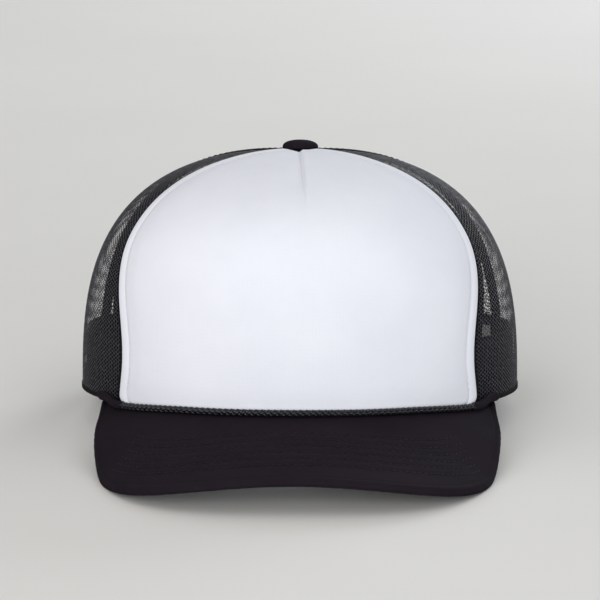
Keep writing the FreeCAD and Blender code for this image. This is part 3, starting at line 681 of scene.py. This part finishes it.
def front_panel():
    rays = np.concatenate([np.linspace(0, 4, 9)[:-1], np.linspace(4, 80, 150)[:-1],
                           np.linspace(80, FOAM_TOP_RAY, 12)])
    near = np.array([0, .12, .3, .55, .85, 1.2, 1.6, 2.1, 2.8, 3.6, 4.4, 5.0, 5.4, 5.8, 6.1, 6.3, 6.5, 6.8,
                     7.2, 7.7, 8.5])
    edge = foam_edge(rays)
    at_edge = edge - turn_for(near[:, None], edge, rays)
    parts = np.concatenate([np.linspace(-1, -0.14, 56)[1:], np.linspace(-0.14, 0.14, 61)[1:],
                            np.linspace(0.14, 1, 56)[1:-1]])
    across = parts[:, None] * at_edge[-1]
    azimuth = np.concatenate([-at_edge, across, at_edge[::-1]])
    ray = np.broadcast_to(rays, azimuth.shape)
    distance = (edge - np.abs(azimuth)) / turn_for(1.0, edge, rays)
    middle = crown_base(0 * rays, rays)
    climbed = run_along(middle)
    above = np.broadcast_to(climbed, azimuth.shape)
    x = np.radians(azimuth) * crown_radius(azimuth, ray)
    face = foam_depth(distance, above, climbed[-1] - above, above)
    face = face + dart_depth(x, ray) - sampled(settled_face(), azimuth, ray)
    thin = np.clip(1 - distance / FOAM_ROLL, 0, 1) ** 2
    back = FOAM_BACK - 1.0 * thin
    panel = shell(crown(azimuth, ray, face), crown(azimuth, ray, back))
    piece = build("front_panel_foam", panel, FOAM, ["front_panel"], sharp=70)
    row = np.linspace(2.5, 78, 400)
    inset = foam_edge(row) - turn_for(BORDER_STITCH, foam_edge(row), row)
    for side, name in ((1, "right"), (-1, "left")):
        thread = crown_stitches(side * inset, row, -FOAM_PROUD + 0.3, width=0.2, height=0.12, sink=0.12)
        build("border_stitches_" + name, thread, WHITE_THREAD,
              ["front_stitching_" + name])


# ---------------------------------------------------------------- netting

def arch_distance(points):
    """Distance from the middle line of the arched opening, in the view from behind."""
    above = np.maximum(points[..., 2] - ARCH_STRAIGHT, 0)
    reach = np.hypot(points[..., 0], above)
    return np.where(points[..., 1] > 0, reach, 1000.0)


class PanelMap:
    """Places flat pattern coordinates of one net panel on the crown, keeping their pitch."""

    def __init__(self, left, right):
        self.left, self.right = left, right
        self.rays = np.linspace(0.0, NET_TOP_RAY, 260)
        self.middle = (left(self.rays) + right(self.rays)) / 2
        self.climbed = run_along(crown_base(self.middle, self.rays))
        offsets = np.linspace(-50, 50, 201)
        azimuth = self.middle[:, None] + offsets
        points = crown_base(azimuth, np.broadcast_to(self.rays[:, None], azimuth.shape))
        run = np.linalg.norm(np.diff(points, axis=1), axis=-1)
        run = np.concatenate([np.zeros((len(self.rays), 1)), np.cumsum(run, axis=1)], axis=1)
        run -= run[:, [len(offsets) // 2]]
        self.grid = np.linspace(-85, 85, 341)
        self.table = np.stack([np.interp(self.grid, run[k], azimuth[k]) for k in range(len(self.rays))])

    def azimuth_and_ray(self, x, y):
        ray = np.interp(y, self.climbed, self.rays)
        row = ray / NET_TOP_RAY * (len(self.rays) - 1)
        column = (x - self.grid[0]) / (self.grid[1] - self.grid[0])
        return between_points(self.table, row, column, lambda part: np.clip(part, 0, 1)), ray


def on_panel(x, y, crosswise):
    """Pattern coordinates of the net's own ones; a crosswise net is cut with its columns lying level."""
    return (y - 78.0, x + 78.0) if crosswise else (x, y)


def hexagons(panel, top, crosswise):
    """Centres of the net's cells that fit inside a panel, clear of the arched opening."""
    column, row = np.meshgrid(np.arange(-60, 61), np.arange(0, 100), indexing="ij")
    column, row = column.ravel(), row.ravel()
    x = column * HOLE_COLUMN
    y = (row + 0.5 * (column % 2)) * HOLE_ROW
    across, up = on_panel(x, y, crosswise)
    inside = (up > 1.3) & (up < top - 1.2) & (np.abs(across) < 84)
    x, y, across, up = x[inside], y[inside], across[inside], up[inside]
    azimuth, ray = panel.azimuth_and_ray(across, up)
    degree = turn_for(1.0, azimuth, ray)
    clear = np.minimum(azimuth - panel.left(ray), panel.right(ray) - azimuth) / degree > 1.2
    clear &= arch_distance(crown_base(azimuth, ray)) > ARCH_RADIUS + BINDING_WIDTH - 1.6
    return x[clear], y[clear]


def netting(left, right, crosswise=False):
    """Knitted net: a hexagonal mesh of round threads with real holes."""
    panel = PanelMap(left, right)
    x, y = hexagons(panel, panel.climbed[-1], crosswise)
    half = HOLE_ROW / 2
    near = (HOLE_COLUMN ** 2 - half ** 2) / (2 * HOLE_COLUMN)
    wide = (HOLE_COLUMN ** 2 + half ** 2) / (2 * HOLE_COLUMN)
    corners = np.array([(wide, 0), (near, half), (-near, half), (-wide, 0), (-near, -half), (near, -half)])
    centres = np.stack([x, y], axis=-1)[:, None]
    knots = (centres + corners).reshape(-1, 2)
    knots, shared = np.unique(np.round(knots, 3), axis=0, return_inverse=True)
    shared = shared.reshape(-1, 6)
    knots = knots + random.normal(0, 0.035, knots.shape)
    wobble = random.normal(0, 0.07, centres.shape)
    eyelets = (centres + wobble + corners * HOLE_SHARE).reshape(-1, 2)
    knot_azimuth, knot_ray = panel.azimuth_and_ray(*on_panel(knots[:, 0], knots[:, 1], crosswise))
    hole_azimuth, hole_ray = panel.azimuth_and_ray(*on_panel(eyelets[:, 0], eyelets[:, 1], crosswise))
    half_thick = NET_THICKNESS / 2 + random.normal(0, 0.015, len(knots))
    points = np.concatenate([crown(knot_azimuth, knot_ray, NET_DEPTH - half_thick),
                             crown(knot_azimuth, knot_ray, NET_DEPTH + half_thick),
                             crown(hole_azimuth, hole_ray, NET_DEPTH)])
    total = len(knots)
    hole = 2 * total + np.arange(len(eyelets)).reshape(-1, 6)
    following, next_hole = np.roll(shared, -1, axis=1), np.roll(hole, -1, axis=1)
    front = np.stack([shared, following, next_hole, hole], axis=-1).reshape(-1, 4)
    back = np.stack([following + total, shared + total, hole, next_hole], axis=-1).reshape(-1, 4)
    ends = np.sort(np.stack([shared, following], axis=-1).reshape(-1, 2), axis=1)
    ends, used = np.unique(ends, axis=0, return_counts=True)
    rim = ends[used == 1]
    walls = np.stack([rim[:, 0], rim[:, 1], rim[:, 1] + total, rim[:, 0] + total], axis=-1)
    flat = np.concatenate([knots, knots, eyelets]) * MM
    return points, [front, back, walls], flat


def net_edge(left, right, rays, across=5):
    """Dense selvedge along a panel's edge, with softly rounded faces."""
    return patch(left, right, rays, NET_DEPTH - 0.42, NET_DEPTH + 0.42, across)


def inner_hem(left, right, across):
    """Strip turned up behind the net along the rim, where the sweatband is sewn on."""
    return patch(left, right, np.linspace(0.4, 5.0, 10), NET_DEPTH + 0.55, NET_DEPTH + 0.85, across)


HEM_RAYS = [0, 0.35, 0.7, 1.0]


def side_panel():
    left, right = beside(front_seam, GAP / 2), beside(side_seam, -GAP / 2)
    rays = np.linspace(0, NET_TOP_RAY, 90)
    front, rear = beside(front_seam, FRONT_NET_EDGE), beside(side_seam, -NET_EDGE)
    hem = merged(net_edge(left, front, rays), net_edge(rear, right, rays),
                 net_edge(lambda ray: front_seam(ray) - 6.0, left, np.linspace(0, 4, 8)),
                 net_edge(front, rear, HEM_RAYS, 40), inner_hem(front, rear, 40))
    return netting(left, right), hem


def back_panel():
    left, right = beside(side_seam, GAP / 2), beside(back_seam, -GAP / 2)
    front, rear = beside(side_seam, NET_EDGE), beside(back_seam, -NET_EDGE)
    hem = merged(net_edge(left, front, np.linspace(0, NET_TOP_RAY, 90)),
                 net_edge(rear, right, np.linspace(33, NET_TOP_RAY, 50)),
                 net_edge(front, meridian(147.6), HEM_RAYS, 30), inner_hem(front, meridian(129.0), 30))
    return netting(left, right, crosswise=True), hem


def outer_stitches():
    """Rows of thread beside the crown's seams, and across the sewn-in ends of the straps."""
    ray = np.linspace(1.5, NET_TOP_RAY - 1, 420)
    over_arch = np.linspace(34, NET_TOP_RAY - 1, 260)
    over_tab = np.linspace(2.0, 12.5, 40)
    face = NET_DEPTH - 0.42
    flat = dict(width=0.22, height=0.16, sink=0.16)
    rows = []
    for side in (1, -1):
        for offset in (-1.5, 1.5):
            rows.append(crown_stitches(side * beside(side_seam, offset)(ray), ray, face, **flat))
        rows.append(crown_stitches(beside(back_seam, side * 1.5)(over_arch), over_arch, face, **flat))
        for azimuth in (144.6, 146.2):
            rows.append(crown_stitches(side * azimuth, over_tab, NET_DEPTH - 0.2, width=0.3))
    build("crown_stitches", merged(*rows), BLACK_THREAD)


def net_panels():
    for name, (net, hem) in (("side", side_panel()), ("back", back_panel())):
        for side, turned in SIDES.items():
            build(f"{name}_net_{side}", turned(net), NET, [f"{name}_mesh_{side}"], sharp=0)
            build(f"{name}_net_hem_{side}", turned(hem), TAPE, sharp=0)


# ---------------------------------------------------------------- tapes, binding, sweatband

def seam_tape(seam, low, low_edge=-TAPE_HALF, high_edge=TAPE_HALF):
    rays = np.linspace(low, TAPE_TOP_RAY, 70)

    def face(azimuth, ray):
        offset = (azimuth - seam(ray)) / turn_for(1.0, azimuth, ray)
        middle, half = (low_edge + high_edge) / 2, (high_edge - low_edge) / 2
        return 0.12 * np.abs((offset - middle) / half) ** 6
    return patch(beside(seam, low_edge), beside(seam, high_edge), rays,
                 lambda azimuth, ray: TAPE_DEPTH + face(azimuth, ray),
                 lambda azimuth, ray: TAPE_DEPTH + TAPE_THICKNESS - face(azimuth, ray), 15)


def tape_stitches(seam, low, offsets):
    ray = np.linspace(low + 1, TAPE_TOP_RAY - 1, 300)
    return [crown_stitches(beside(seam, offset)(ray), ray, TAPE_DEPTH + TAPE_THICKNESS - 0.05, facing=-1,
                           width=0.25, height=0.2) for offset in offsets]


def seam_tapes():
    low = BAND_TOP_RAY - 1
    front = merged(seam_tape(front_seam, low, GAP, FRONT_TAPE_WIDTH),
                   *tape_stitches(front_seam, low, [FRONT_TAPE_WIDTH - 0.9]))
    side = merged(seam_tape(side_seam, low), *tape_stitches(side_seam, low, [-3.4, 3.4]))
    for name, geometry in (("front_seam", front), ("side_seam", side)):
        for hand, turned in SIDES.items():
            build(f"{name}_binding_{hand}", turned(geometry), TAPE, [f"{name}_tape_{hand}"])
    arch_top = math.degrees(math.atan2(ARCH_RADIUS + ARCH_STRAIGHT + BINDING_WIDTH + 1.5,
                                       CROWN_HEIGHT * 0.86))
    back = merged(seam_tape(back_seam, arch_top), *tape_stitches(back_seam, arch_top, [-3.4, 3.4]))
    build("back_seam_binding", back, TAPE, ["back_seam_tape"])


def behind(x, z):
    """Azimuth and ray of the crown's back where it has these coordinates, by Newton steps."""
    azimuth = 180 - np.degrees(np.arcsin(np.clip(x / RIM_HALF_WIDTH, -0.95, 0.95)))
    ray = np.degrees(np.arctan2(z, RIM_HALF_LENGTH))
    step = 0.1
    for _ in range(12):
        here = crown_base(azimuth, ray)
        by_turn = (crown_base(azimuth + step, ray) - here) / step
        by_ray = (crown_base(azimuth, ray + step) - here) / step
        off_x, off_z = x - here[..., 0], z - here[..., 2]
        scale = by_turn[..., 0] * by_ray[..., 2] - by_ray[..., 0] * by_turn[..., 2]
        azimuth = azimuth + (off_x * by_ray[..., 2] - off_z * by_ray[..., 0]) / scale
        ray = ray + (by_turn[..., 0] * off_z - by_turn[..., 2] * off_x) / scale
    return azimuth, ray


def arch_line(offset):
    """Line round the opening at this distance outside its edge, from one rim end to the other."""
    radius = ARCH_RADIUS + offset
    turns = np.linspace(0, np.pi, 152)
    rise = np.linspace(0.3, ARCH_STRAIGHT, 5)[:-1]
    x = np.concatenate([np.full(4, radius), radius * np.cos(turns), np.full(4, -radius)])
    z = np.concatenate([rise, ARCH_STRAIGHT + radius * np.sin(turns), rise[::-1]])
    return x, z


def arch_binding():
    """Tape folded round the edge of the opening, with a stitched groove on both faces."""
    groove = 3.6
    outside = [(BINDING_WIDTH, 0.0), (4.9, -0.35), (4.3, -0.5), (3.9, -0.42), (groove, -0.3), (3.3, -0.42),
               (2.6, -0.62), (1.4, -0.66), (0.6, -0.5), (0.15, -0.15), (0.0, 0.4)]
    inside = [(0.0, 0.8), (0.15, 1.3), (0.6, 1.6), (1.8, 1.72), (3.3, 1.6), (groove, 1.5), (3.9, 1.6),
              (4.6, 1.6), (4.9, 1.4), (BINDING_WIDTH, 1.1)]
    rings = [crown(*behind(*arch_line(offset)), depth) for offset, depth in outside + inside]
    tape = tube(np.stack(rings, axis=1))
    azimuth, ray = behind(*arch_line(groove))
    sizes = dict(width=0.3, height=0.26)
    build("arch_tape", tape, TAPE, ["arch_binding"], sharp=75)
    row = merged(crown_stitches(azimuth, ray, -0.32, **sizes),
                 crown_stitches(azimuth, ray, 1.52, facing=-1, **sizes))
    build("arch_stitches", row, BLACK_THREAD)


def band_depth(azimuth):
    """The sweatband lies behind foam in front, net at the sides, and the strap tabs at the back."""
    turn = np.abs(azimuth)
    return 3.0 - 1.1 * eased(turn, 54, 66) + 5.0 * eased(turn, 130, 143)


def sweatband():
    """Padded band with rounded edges, gathered a little where its row of stitches draws it in."""
    rays = np.linspace(0.8, BAND_TOP_RAY, 26)
    stitch_ray = BAND_TOP_RAY - 1.4

    def height(ray):
        return (ray - rays[0]) / (rays[-1] - rays[0])

    def edge(ray):
        return np.abs(2 * height(ray) - 1) ** 8

    def outer(azimuth, ray):
        return band_depth(azimuth) + 0.35 * edge(ray)

    def inner(azimuth, ray):
        gather = 0.10 * np.sin(azimuth * 2.3) * bump(height(ray), 0.9, 0.08)
        groove = 0.3 * bump(height(ray), 0.901, 0.035)
        return band_depth(azimuth) + BAND_THICKNESS + 0.25 - 0.6 * edge(ray) - gather - groove

    def label_face(proud):
        return lambda azimuth, ray: (band_depth(azimuth) + BAND_THICKNESS + proud
                                     + 0.35 * bump(ray, 4.0, 2.5))
    band = patch(meridian(-BAND_END), meridian(BAND_END), rays, outer, inner, 420)
    piece = build("sweatband_cloth", band, BAND, ["sweatband"])
    azimuth = np.linspace(-BAND_END + 1, BAND_END - 1, 900)
    thread = crown_stitches(azimuth, stitch_ray, band_depth(azimuth) + BAND_THICKNESS + 0.02, facing=-1,
                            width=0.3)
    build("sweatband_stitches", thread, BLACK_THREAD, ["sweatband_stitching"])
    label = patch(meridian(112.0), meridian(124.0), np.linspace(4, 12.4, 16), label_face(0.3),
                  label_face(0.6), 18)
    build("size_label_cloth", label, LABEL, ["size_label"])


# ---------------------------------------------------------------- visor

def visor_front(x):
    """Plan of the visor's outline in front, by its place across."""
    part = np.clip(np.abs(x) / VISOR_HALF_WIDTH, 0.0, 1.0)
    return -VISOR_SIDE_START - VISOR_REACH * (1 - part ** VISOR_POWER) ** (1 / VISOR_POWER)


# Each stitch row's distance behind the outline, and how far to each side it goes.
ROWS = [(VISOR_LENGTH - ROW_FIRST - k * ROW_PITCH, ROW_END + k * ROW_SPREAD) for k in range(ROW_COUNT)]


def visor_reaches():
    """Places along the visor: coarse at its root, fine over the stitch rows and at its edge."""
    total = VISOR_LENGTH + VISOR_TUCK
    rows_start, rows_end, edge_start = 16.0, 60.0, total - 4.0
    near_edge = total - np.array([3.2, 2.6, 2.1, 1.7, 1.3, 0.9, 0.55, 0.28, 0.1, 0])
    return np.concatenate([np.linspace(0, rows_start, 14)[:-1], np.linspace(rows_start, rows_end, 132)[:-1],
                           np.linspace(rows_end, edge_start, 10), near_edge]) / total


def quilt(share, reach):
    """Depth of the stitched grooves of the visor's cover, with cloth swelling between them."""
    plan = visor(share, reach, 0.0)
    x, behind = plan[..., 0], plan[..., 1] - visor_front(plan[..., 0])
    groove_depth, pucker_depth, groove_width, swell_height = 0.42, 0.12, 0.75, 0.36
    depth = 0.0
    for number, (row, end) in enumerate(ROWS):
        pucker = groove_depth + pucker_depth * np.cos(2 * np.pi * x / STITCH_PITCH + 1.9 * number)
        fading = 1 - eased(np.abs(x), end - 12, end + 3)
        depth = depth + pucker * bump(behind, row, groove_width) * fading
    between = (ROWS[0][0] - behind) / ROW_PITCH
    inside = (between > 0) & (between < ROW_COUNT - 1)
    swell = np.where(inside, np.sin(np.pi * between) ** 2, 0.0)
    return depth - swell_height * swell * (1 - eased(np.abs(x), 52.0, 72.0))


def edge_distance(share, reach):
    gap = np.linalg.norm(visor_outer(share) - visor_inner(share), axis=-1)
    return (1 - reach) * np.maximum(gap, 4.0)


def visor_layers():
    reaches = visor_reaches()
    share = np.linspace(-1, 1, 221)[:, None]
    share, reach = np.broadcast_arrays(share, reaches)
    from_edge = edge_distance(share, reach)
    crease = 0.10 * np.sin(share * 55 + reach * 9) * bump(reach, 0.1, 0.12)
    rounding = np.clip(1 - from_edge / 0.5, 0, 1) ** 2
    top = quilt(share, reach) + crease - 0.28 * bump(from_edge, 0.9, 0.75) + 0.2 * bump(from_edge, 2.8, 0.7)
    top = top + 0.5 * rounding
    upper = shell(visor(share, reach, top), visor(share, reach, COVER + 0.05 + 0 * top))
    build("visor_top_cloth", upper, VISOR_CLOTH, ["visor_top_cover"], sharp=60)
    under = COVER + LAYER_GAP + BOARD + LAYER_GAP
    low = under + COVER - quilt(share, reach) + 0.2 * bump(from_edge, 0.9, 0.75) - 0.35 * rounding
    lower = shell(visor(share, reach, under + 0 * low), visor(share, reach, low))
    build("visor_under_cloth", lower, VISOR_CLOTH, ["visor_under_cover"], sharp=60)


def visor_edge():
    """Strip of cloth turned round the rim of the board, slightly bowed outwards."""
    share = np.linspace(-1, 1, 361)
    outline = visor(share, 1.0, 0.0)
    away = unit(np.stack([np.gradient(outline[:, 1]), -np.gradient(outline[:, 0]), 0 * share], axis=-1))
    away *= np.sign(np.sum(away * (outline - [0, -60, 0]), axis=-1))[:, None]
    low, high = COVER - 0.15, COVER + BOARD + 2 * LAYER_GAP + 0.15
    section = [(-1.9, low), (-0.5, low), (0.0, low + 0.25), (0.18, (low + high) / 2), (0.0, high - 0.25),
               (-0.5, high), (-1.9, high)]
    wave = 0.05 * np.sin(share * 140)[:, None]
    rings = [outline + away * (offset + wave) - [0, 0, depth] for offset, depth in section]
    build("visor_edge_cloth", tube(np.stack(rings, axis=1)), VISOR_CLOTH,
          ["visor_edge_fold"], sharp=60)


def visor_stitches():
    under = 2 * COVER + BOARD + 2 * LAYER_GAP
    rows = []
    for behind, end in ROWS:
        x = np.linspace(-end, end, 500)
        y = visor_front(x) + behind
        path = np.stack([x, y, visor_height(x, y)], axis=-1)
        upward = np.broadcast_to([0.0, -0.2, 1.0], path.shape)
        rows.append(stitches(path - [0, 0, 0.32], upward, width=0.3, height=0.24))
        rows.append(stitches(path - [0, 0, under - 0.3], -upward))
    build("visor_row_stitches", merged(*rows), BLACK_THREAD, ["visor_stitching"])


# ---------------------------------------------------------------- rope

def rope_centre(azimuth):
    share = np.clip((np.abs(azimuth) - 44) / 12, 0, 1)
    proud = FOAM_PROUD * (1 - share) + ROPE_RADIUS + GAP
    point = crown(azimuth, 0.3, -proud)
    floor = visor_height(point[:, 0], point[:, 1]) + ROPE_RADIUS
    return np.stack([point[:, 0], point[:, 1], floor + 0.25], axis=-1)


def rope():
    """Braid of flat strands, as many each way, that pass over and under each other round a core."""
    mean_reach, weave_reach, core_radius = 0.84, 0.32, 0.6
    centre = rope_centre(np.linspace(-ROPE_END, ROPE_END, 560))
    side, above = sideways_and_up(centre)
    lay = 2 * np.pi * run_along(centre) / ROPE_LAY
    pieces = []
    for way in (1, -1):
        for number in range(STRANDS_EACH_WAY):
            turn = way * lay + number * 2 * np.pi / STRANDS_EACH_WAY
            reach = mean_reach + weave_reach * way * np.cos(STRANDS_EACH_WAY * lay)
            outward = side * np.cos(turn)[:, None] + above * np.sin(turn)[:, None]
            path = centre + outward * reach[:, None]
            broad = unit(np.cross(outward, unit(np.gradient(path, axis=0))))
            pieces.append(round_tube(path, broad, outward, STRAND_HALF_WIDTH, STRAND_HALF_THICKNESS))
    pieces.append(round_tube(centre, side, above, core_radius, core_radius))
    build("rope_cord", merged(*pieces), ROPE, ["rope"], sharp=0)


def rope_tucks():
    """Folded cloth that takes in the rope's ends and lies flat on the net at the visor's corners."""
    round_half, closing_start, squareness = 1.7, 0.84, 0.8
    azimuth = np.linspace(TUCK_START, TUCK_END, 48)
    share = np.linspace(0, 1, 48)
    start, finish = rope_centre(azimuth), crown(azimuth, 0.95, -0.95)
    centre = start + (finish - start) * eased(share, 0.14, 0.75)[:, None]
    closing = np.sqrt(np.clip(1 - (np.clip(share - closing_start, 0, 1) / 0.165) ** 2, 0.01, 1))
    high = (round_half + 0.2 * eased(share, 0.2, 0.5)) * closing
    deep = (round_half - 0.68 * eased(share, 0.2, 0.6)) * closing
    side, above = sideways_and_up(centre)
    rings = []
    for turn in np.radians(np.arange(24) * 15):
        fold = 1 + 0.025 * np.cos(3 * turn + 4 * share) * eased(share, 0.0, 0.2)
        across, upward = [math.copysign(abs(part) ** squareness, part) for part in (math.cos(turn),
                                                                                   math.sin(turn))]
        rings.append(centre + side * (deep * fold * across)[:, None]
                     + above * (high * fold * upward)[:, None])
    cloth = tube(np.stack(rings, axis=1))
    for hand, turned in SIDES.items():
        build(f"rope_tuck_cloth_{hand}", turned(cloth), VISOR_CLOTH,
              [f"rope_tuck_{hand}"], sharp=0)


# ---------------------------------------------------------------- button

def button():
    """Cloth drawn over a domed button, with soft pleats where it turns under the rim."""
    pleats, pleat_depth = 13, 0.022
    turns = np.linspace(0, 2 * np.pi, 97)[:-1]
    rings = []
    for radius, height in BUTTON_PROFILE:
        reach = radius * (1 + pleat_depth * np.cos(pleats * turns) * (1 - height / BUTTON_HEIGHT) ** 0.5)
        rings.append(np.stack([reach * np.cos(turns), reach * np.sin(turns),
                               np.full_like(turns, BUTTON_SEAT + height)], axis=-1))
    build("button_cloth", tube(np.stack(rings)), VISOR_CLOTH, ["button_cover"], sharp=80)
    seat = patch(meridian(-180.0), meridian(180.0), [85.3, 85.9, 86.6, 87.3, 88.2], -0.25, 0.9, 73)
    build("crown_top_cloth", seat, VISOR_CLOTH)


# ---------------------------------------------------------------- CAD nodes that stay

def dress_frame_nodes():
    finishes = {
        STRAP: ("hole_strap", "peg_strap", "hole_strap_tab", "peg_strap_tab"),
        BOARD_PLASTIC: ("visor_board",),
        METAL: ("button_shell", "button_washer"),
    }
    for material, names in finishes.items():
        for name in names:
            mesh = frame["nodes"][name].data
            mesh.materials.clear()
            mesh.materials.append(material)


# ---------------------------------------------------------------- floor, light, camera

def floor():
    """Paper floor that sweeps up far from the cap, all round."""
    turns = np.linspace(0, 2 * np.pi, FLOOR_SIDES + 1)[:-1]
    points = [(r * math.cos(a), r * math.sin(a), z) for r, z in FLOOR_PROFILE for a in turns]
    index = np.arange(len(points)).reshape(-1, FLOOR_SIDES)
    beside_it = np.roll(index, -1, axis=1)
    rings = np.stack([index[:-1], index[1:], beside_it[1:], beside_it[:-1]], axis=-1).reshape(-1, 4)
    mesh = bpy.data.meshes.new("floor")
    mesh.from_pydata(points, [], [index[0].tolist()] + rings.tolist())
    mesh.shade_smooth()
    material, tree, shader = new_material("floor_paper", 0.9, 0.1)
    toned(tree, shader, noise(tree, 3.0), (0.73, 0.725, 0.715), (0.76, 0.755, 0.745), 0.3, 0.7)
    bumped(tree, shader, noise(tree, 900.0), 0.05, 0.2)
    mesh.materials.append(material)
    piece = bpy.data.objects.new("floor", mesh)
    bpy.context.scene.collection.objects.link(piece)


def soft_light(name, place, width, power, colour):
    light = bpy.data.lights.new(name, "AREA")
    light.shape = "DISK"
    light.size = width
    light.energy = power
    light.color = colour
    lamp = bpy.data.objects.new(name, light)
    lamp.location = place
    lamp.rotation_euler = (Vector(LIT_PLACE) - Vector(place)).to_track_quat("-Z", "Y").to_euler()
    bpy.context.scene.collection.objects.link(lamp)


def studio():
    world = bpy.data.worlds.new("studio")
    world.use_nodes = True
    sky = world.node_tree.nodes["Background"]
    sky.inputs["Color"].default_value = (0.640, 0.634, 0.620, 1.0)
    sky.inputs["Strength"].default_value = 1.03
    bpy.context.scene.world = world
    bpy.context.scene.view_settings.view_transform = "Standard"
    for lamp in LAMPS:
        soft_light(**lamp)


def camera():
    """Long lens a little above the rim's plane, aimed at the middle of the cap's front view."""
    elevation, azimuth = math.radians(VIEW_ELEVATION), math.radians(VIEW_AZIMUTH)
    target = np.array([0.0, 0.0, VIEW_HEIGHT])
    away = np.array([math.sin(azimuth) * math.cos(elevation), -math.cos(azimuth) * math.cos(elevation),
                     math.sin(elevation)])
    view = bpy.data.cameras.new("camera")
    view.sensor_width = 36.0
    view.lens = view.sensor_width * VIEW_DISTANCE / FRAME_WIDTH
    view.clip_end = 50.0
    eye = bpy.data.objects.new("camera", view)
    spot, aim = Vector(placed(target + away * VIEW_DISTANCE)), Vector(placed(target))
    eye.location = spot
    eye.rotation_euler = (aim - spot).to_track_quat("-Z", "Y").to_euler()
    bpy.context.scene.collection.objects.link(eye)
    bpy.context.scene.camera = eye


camera()
floor()
studio()
front_panel()
net_panels()
outer_stitches()
seam_tapes()
arch_binding()
sweatband()
visor_layers()
visor_edge()
visor_stitches()
rope()
rope_tucks()
button()
dress_frame_nodes()
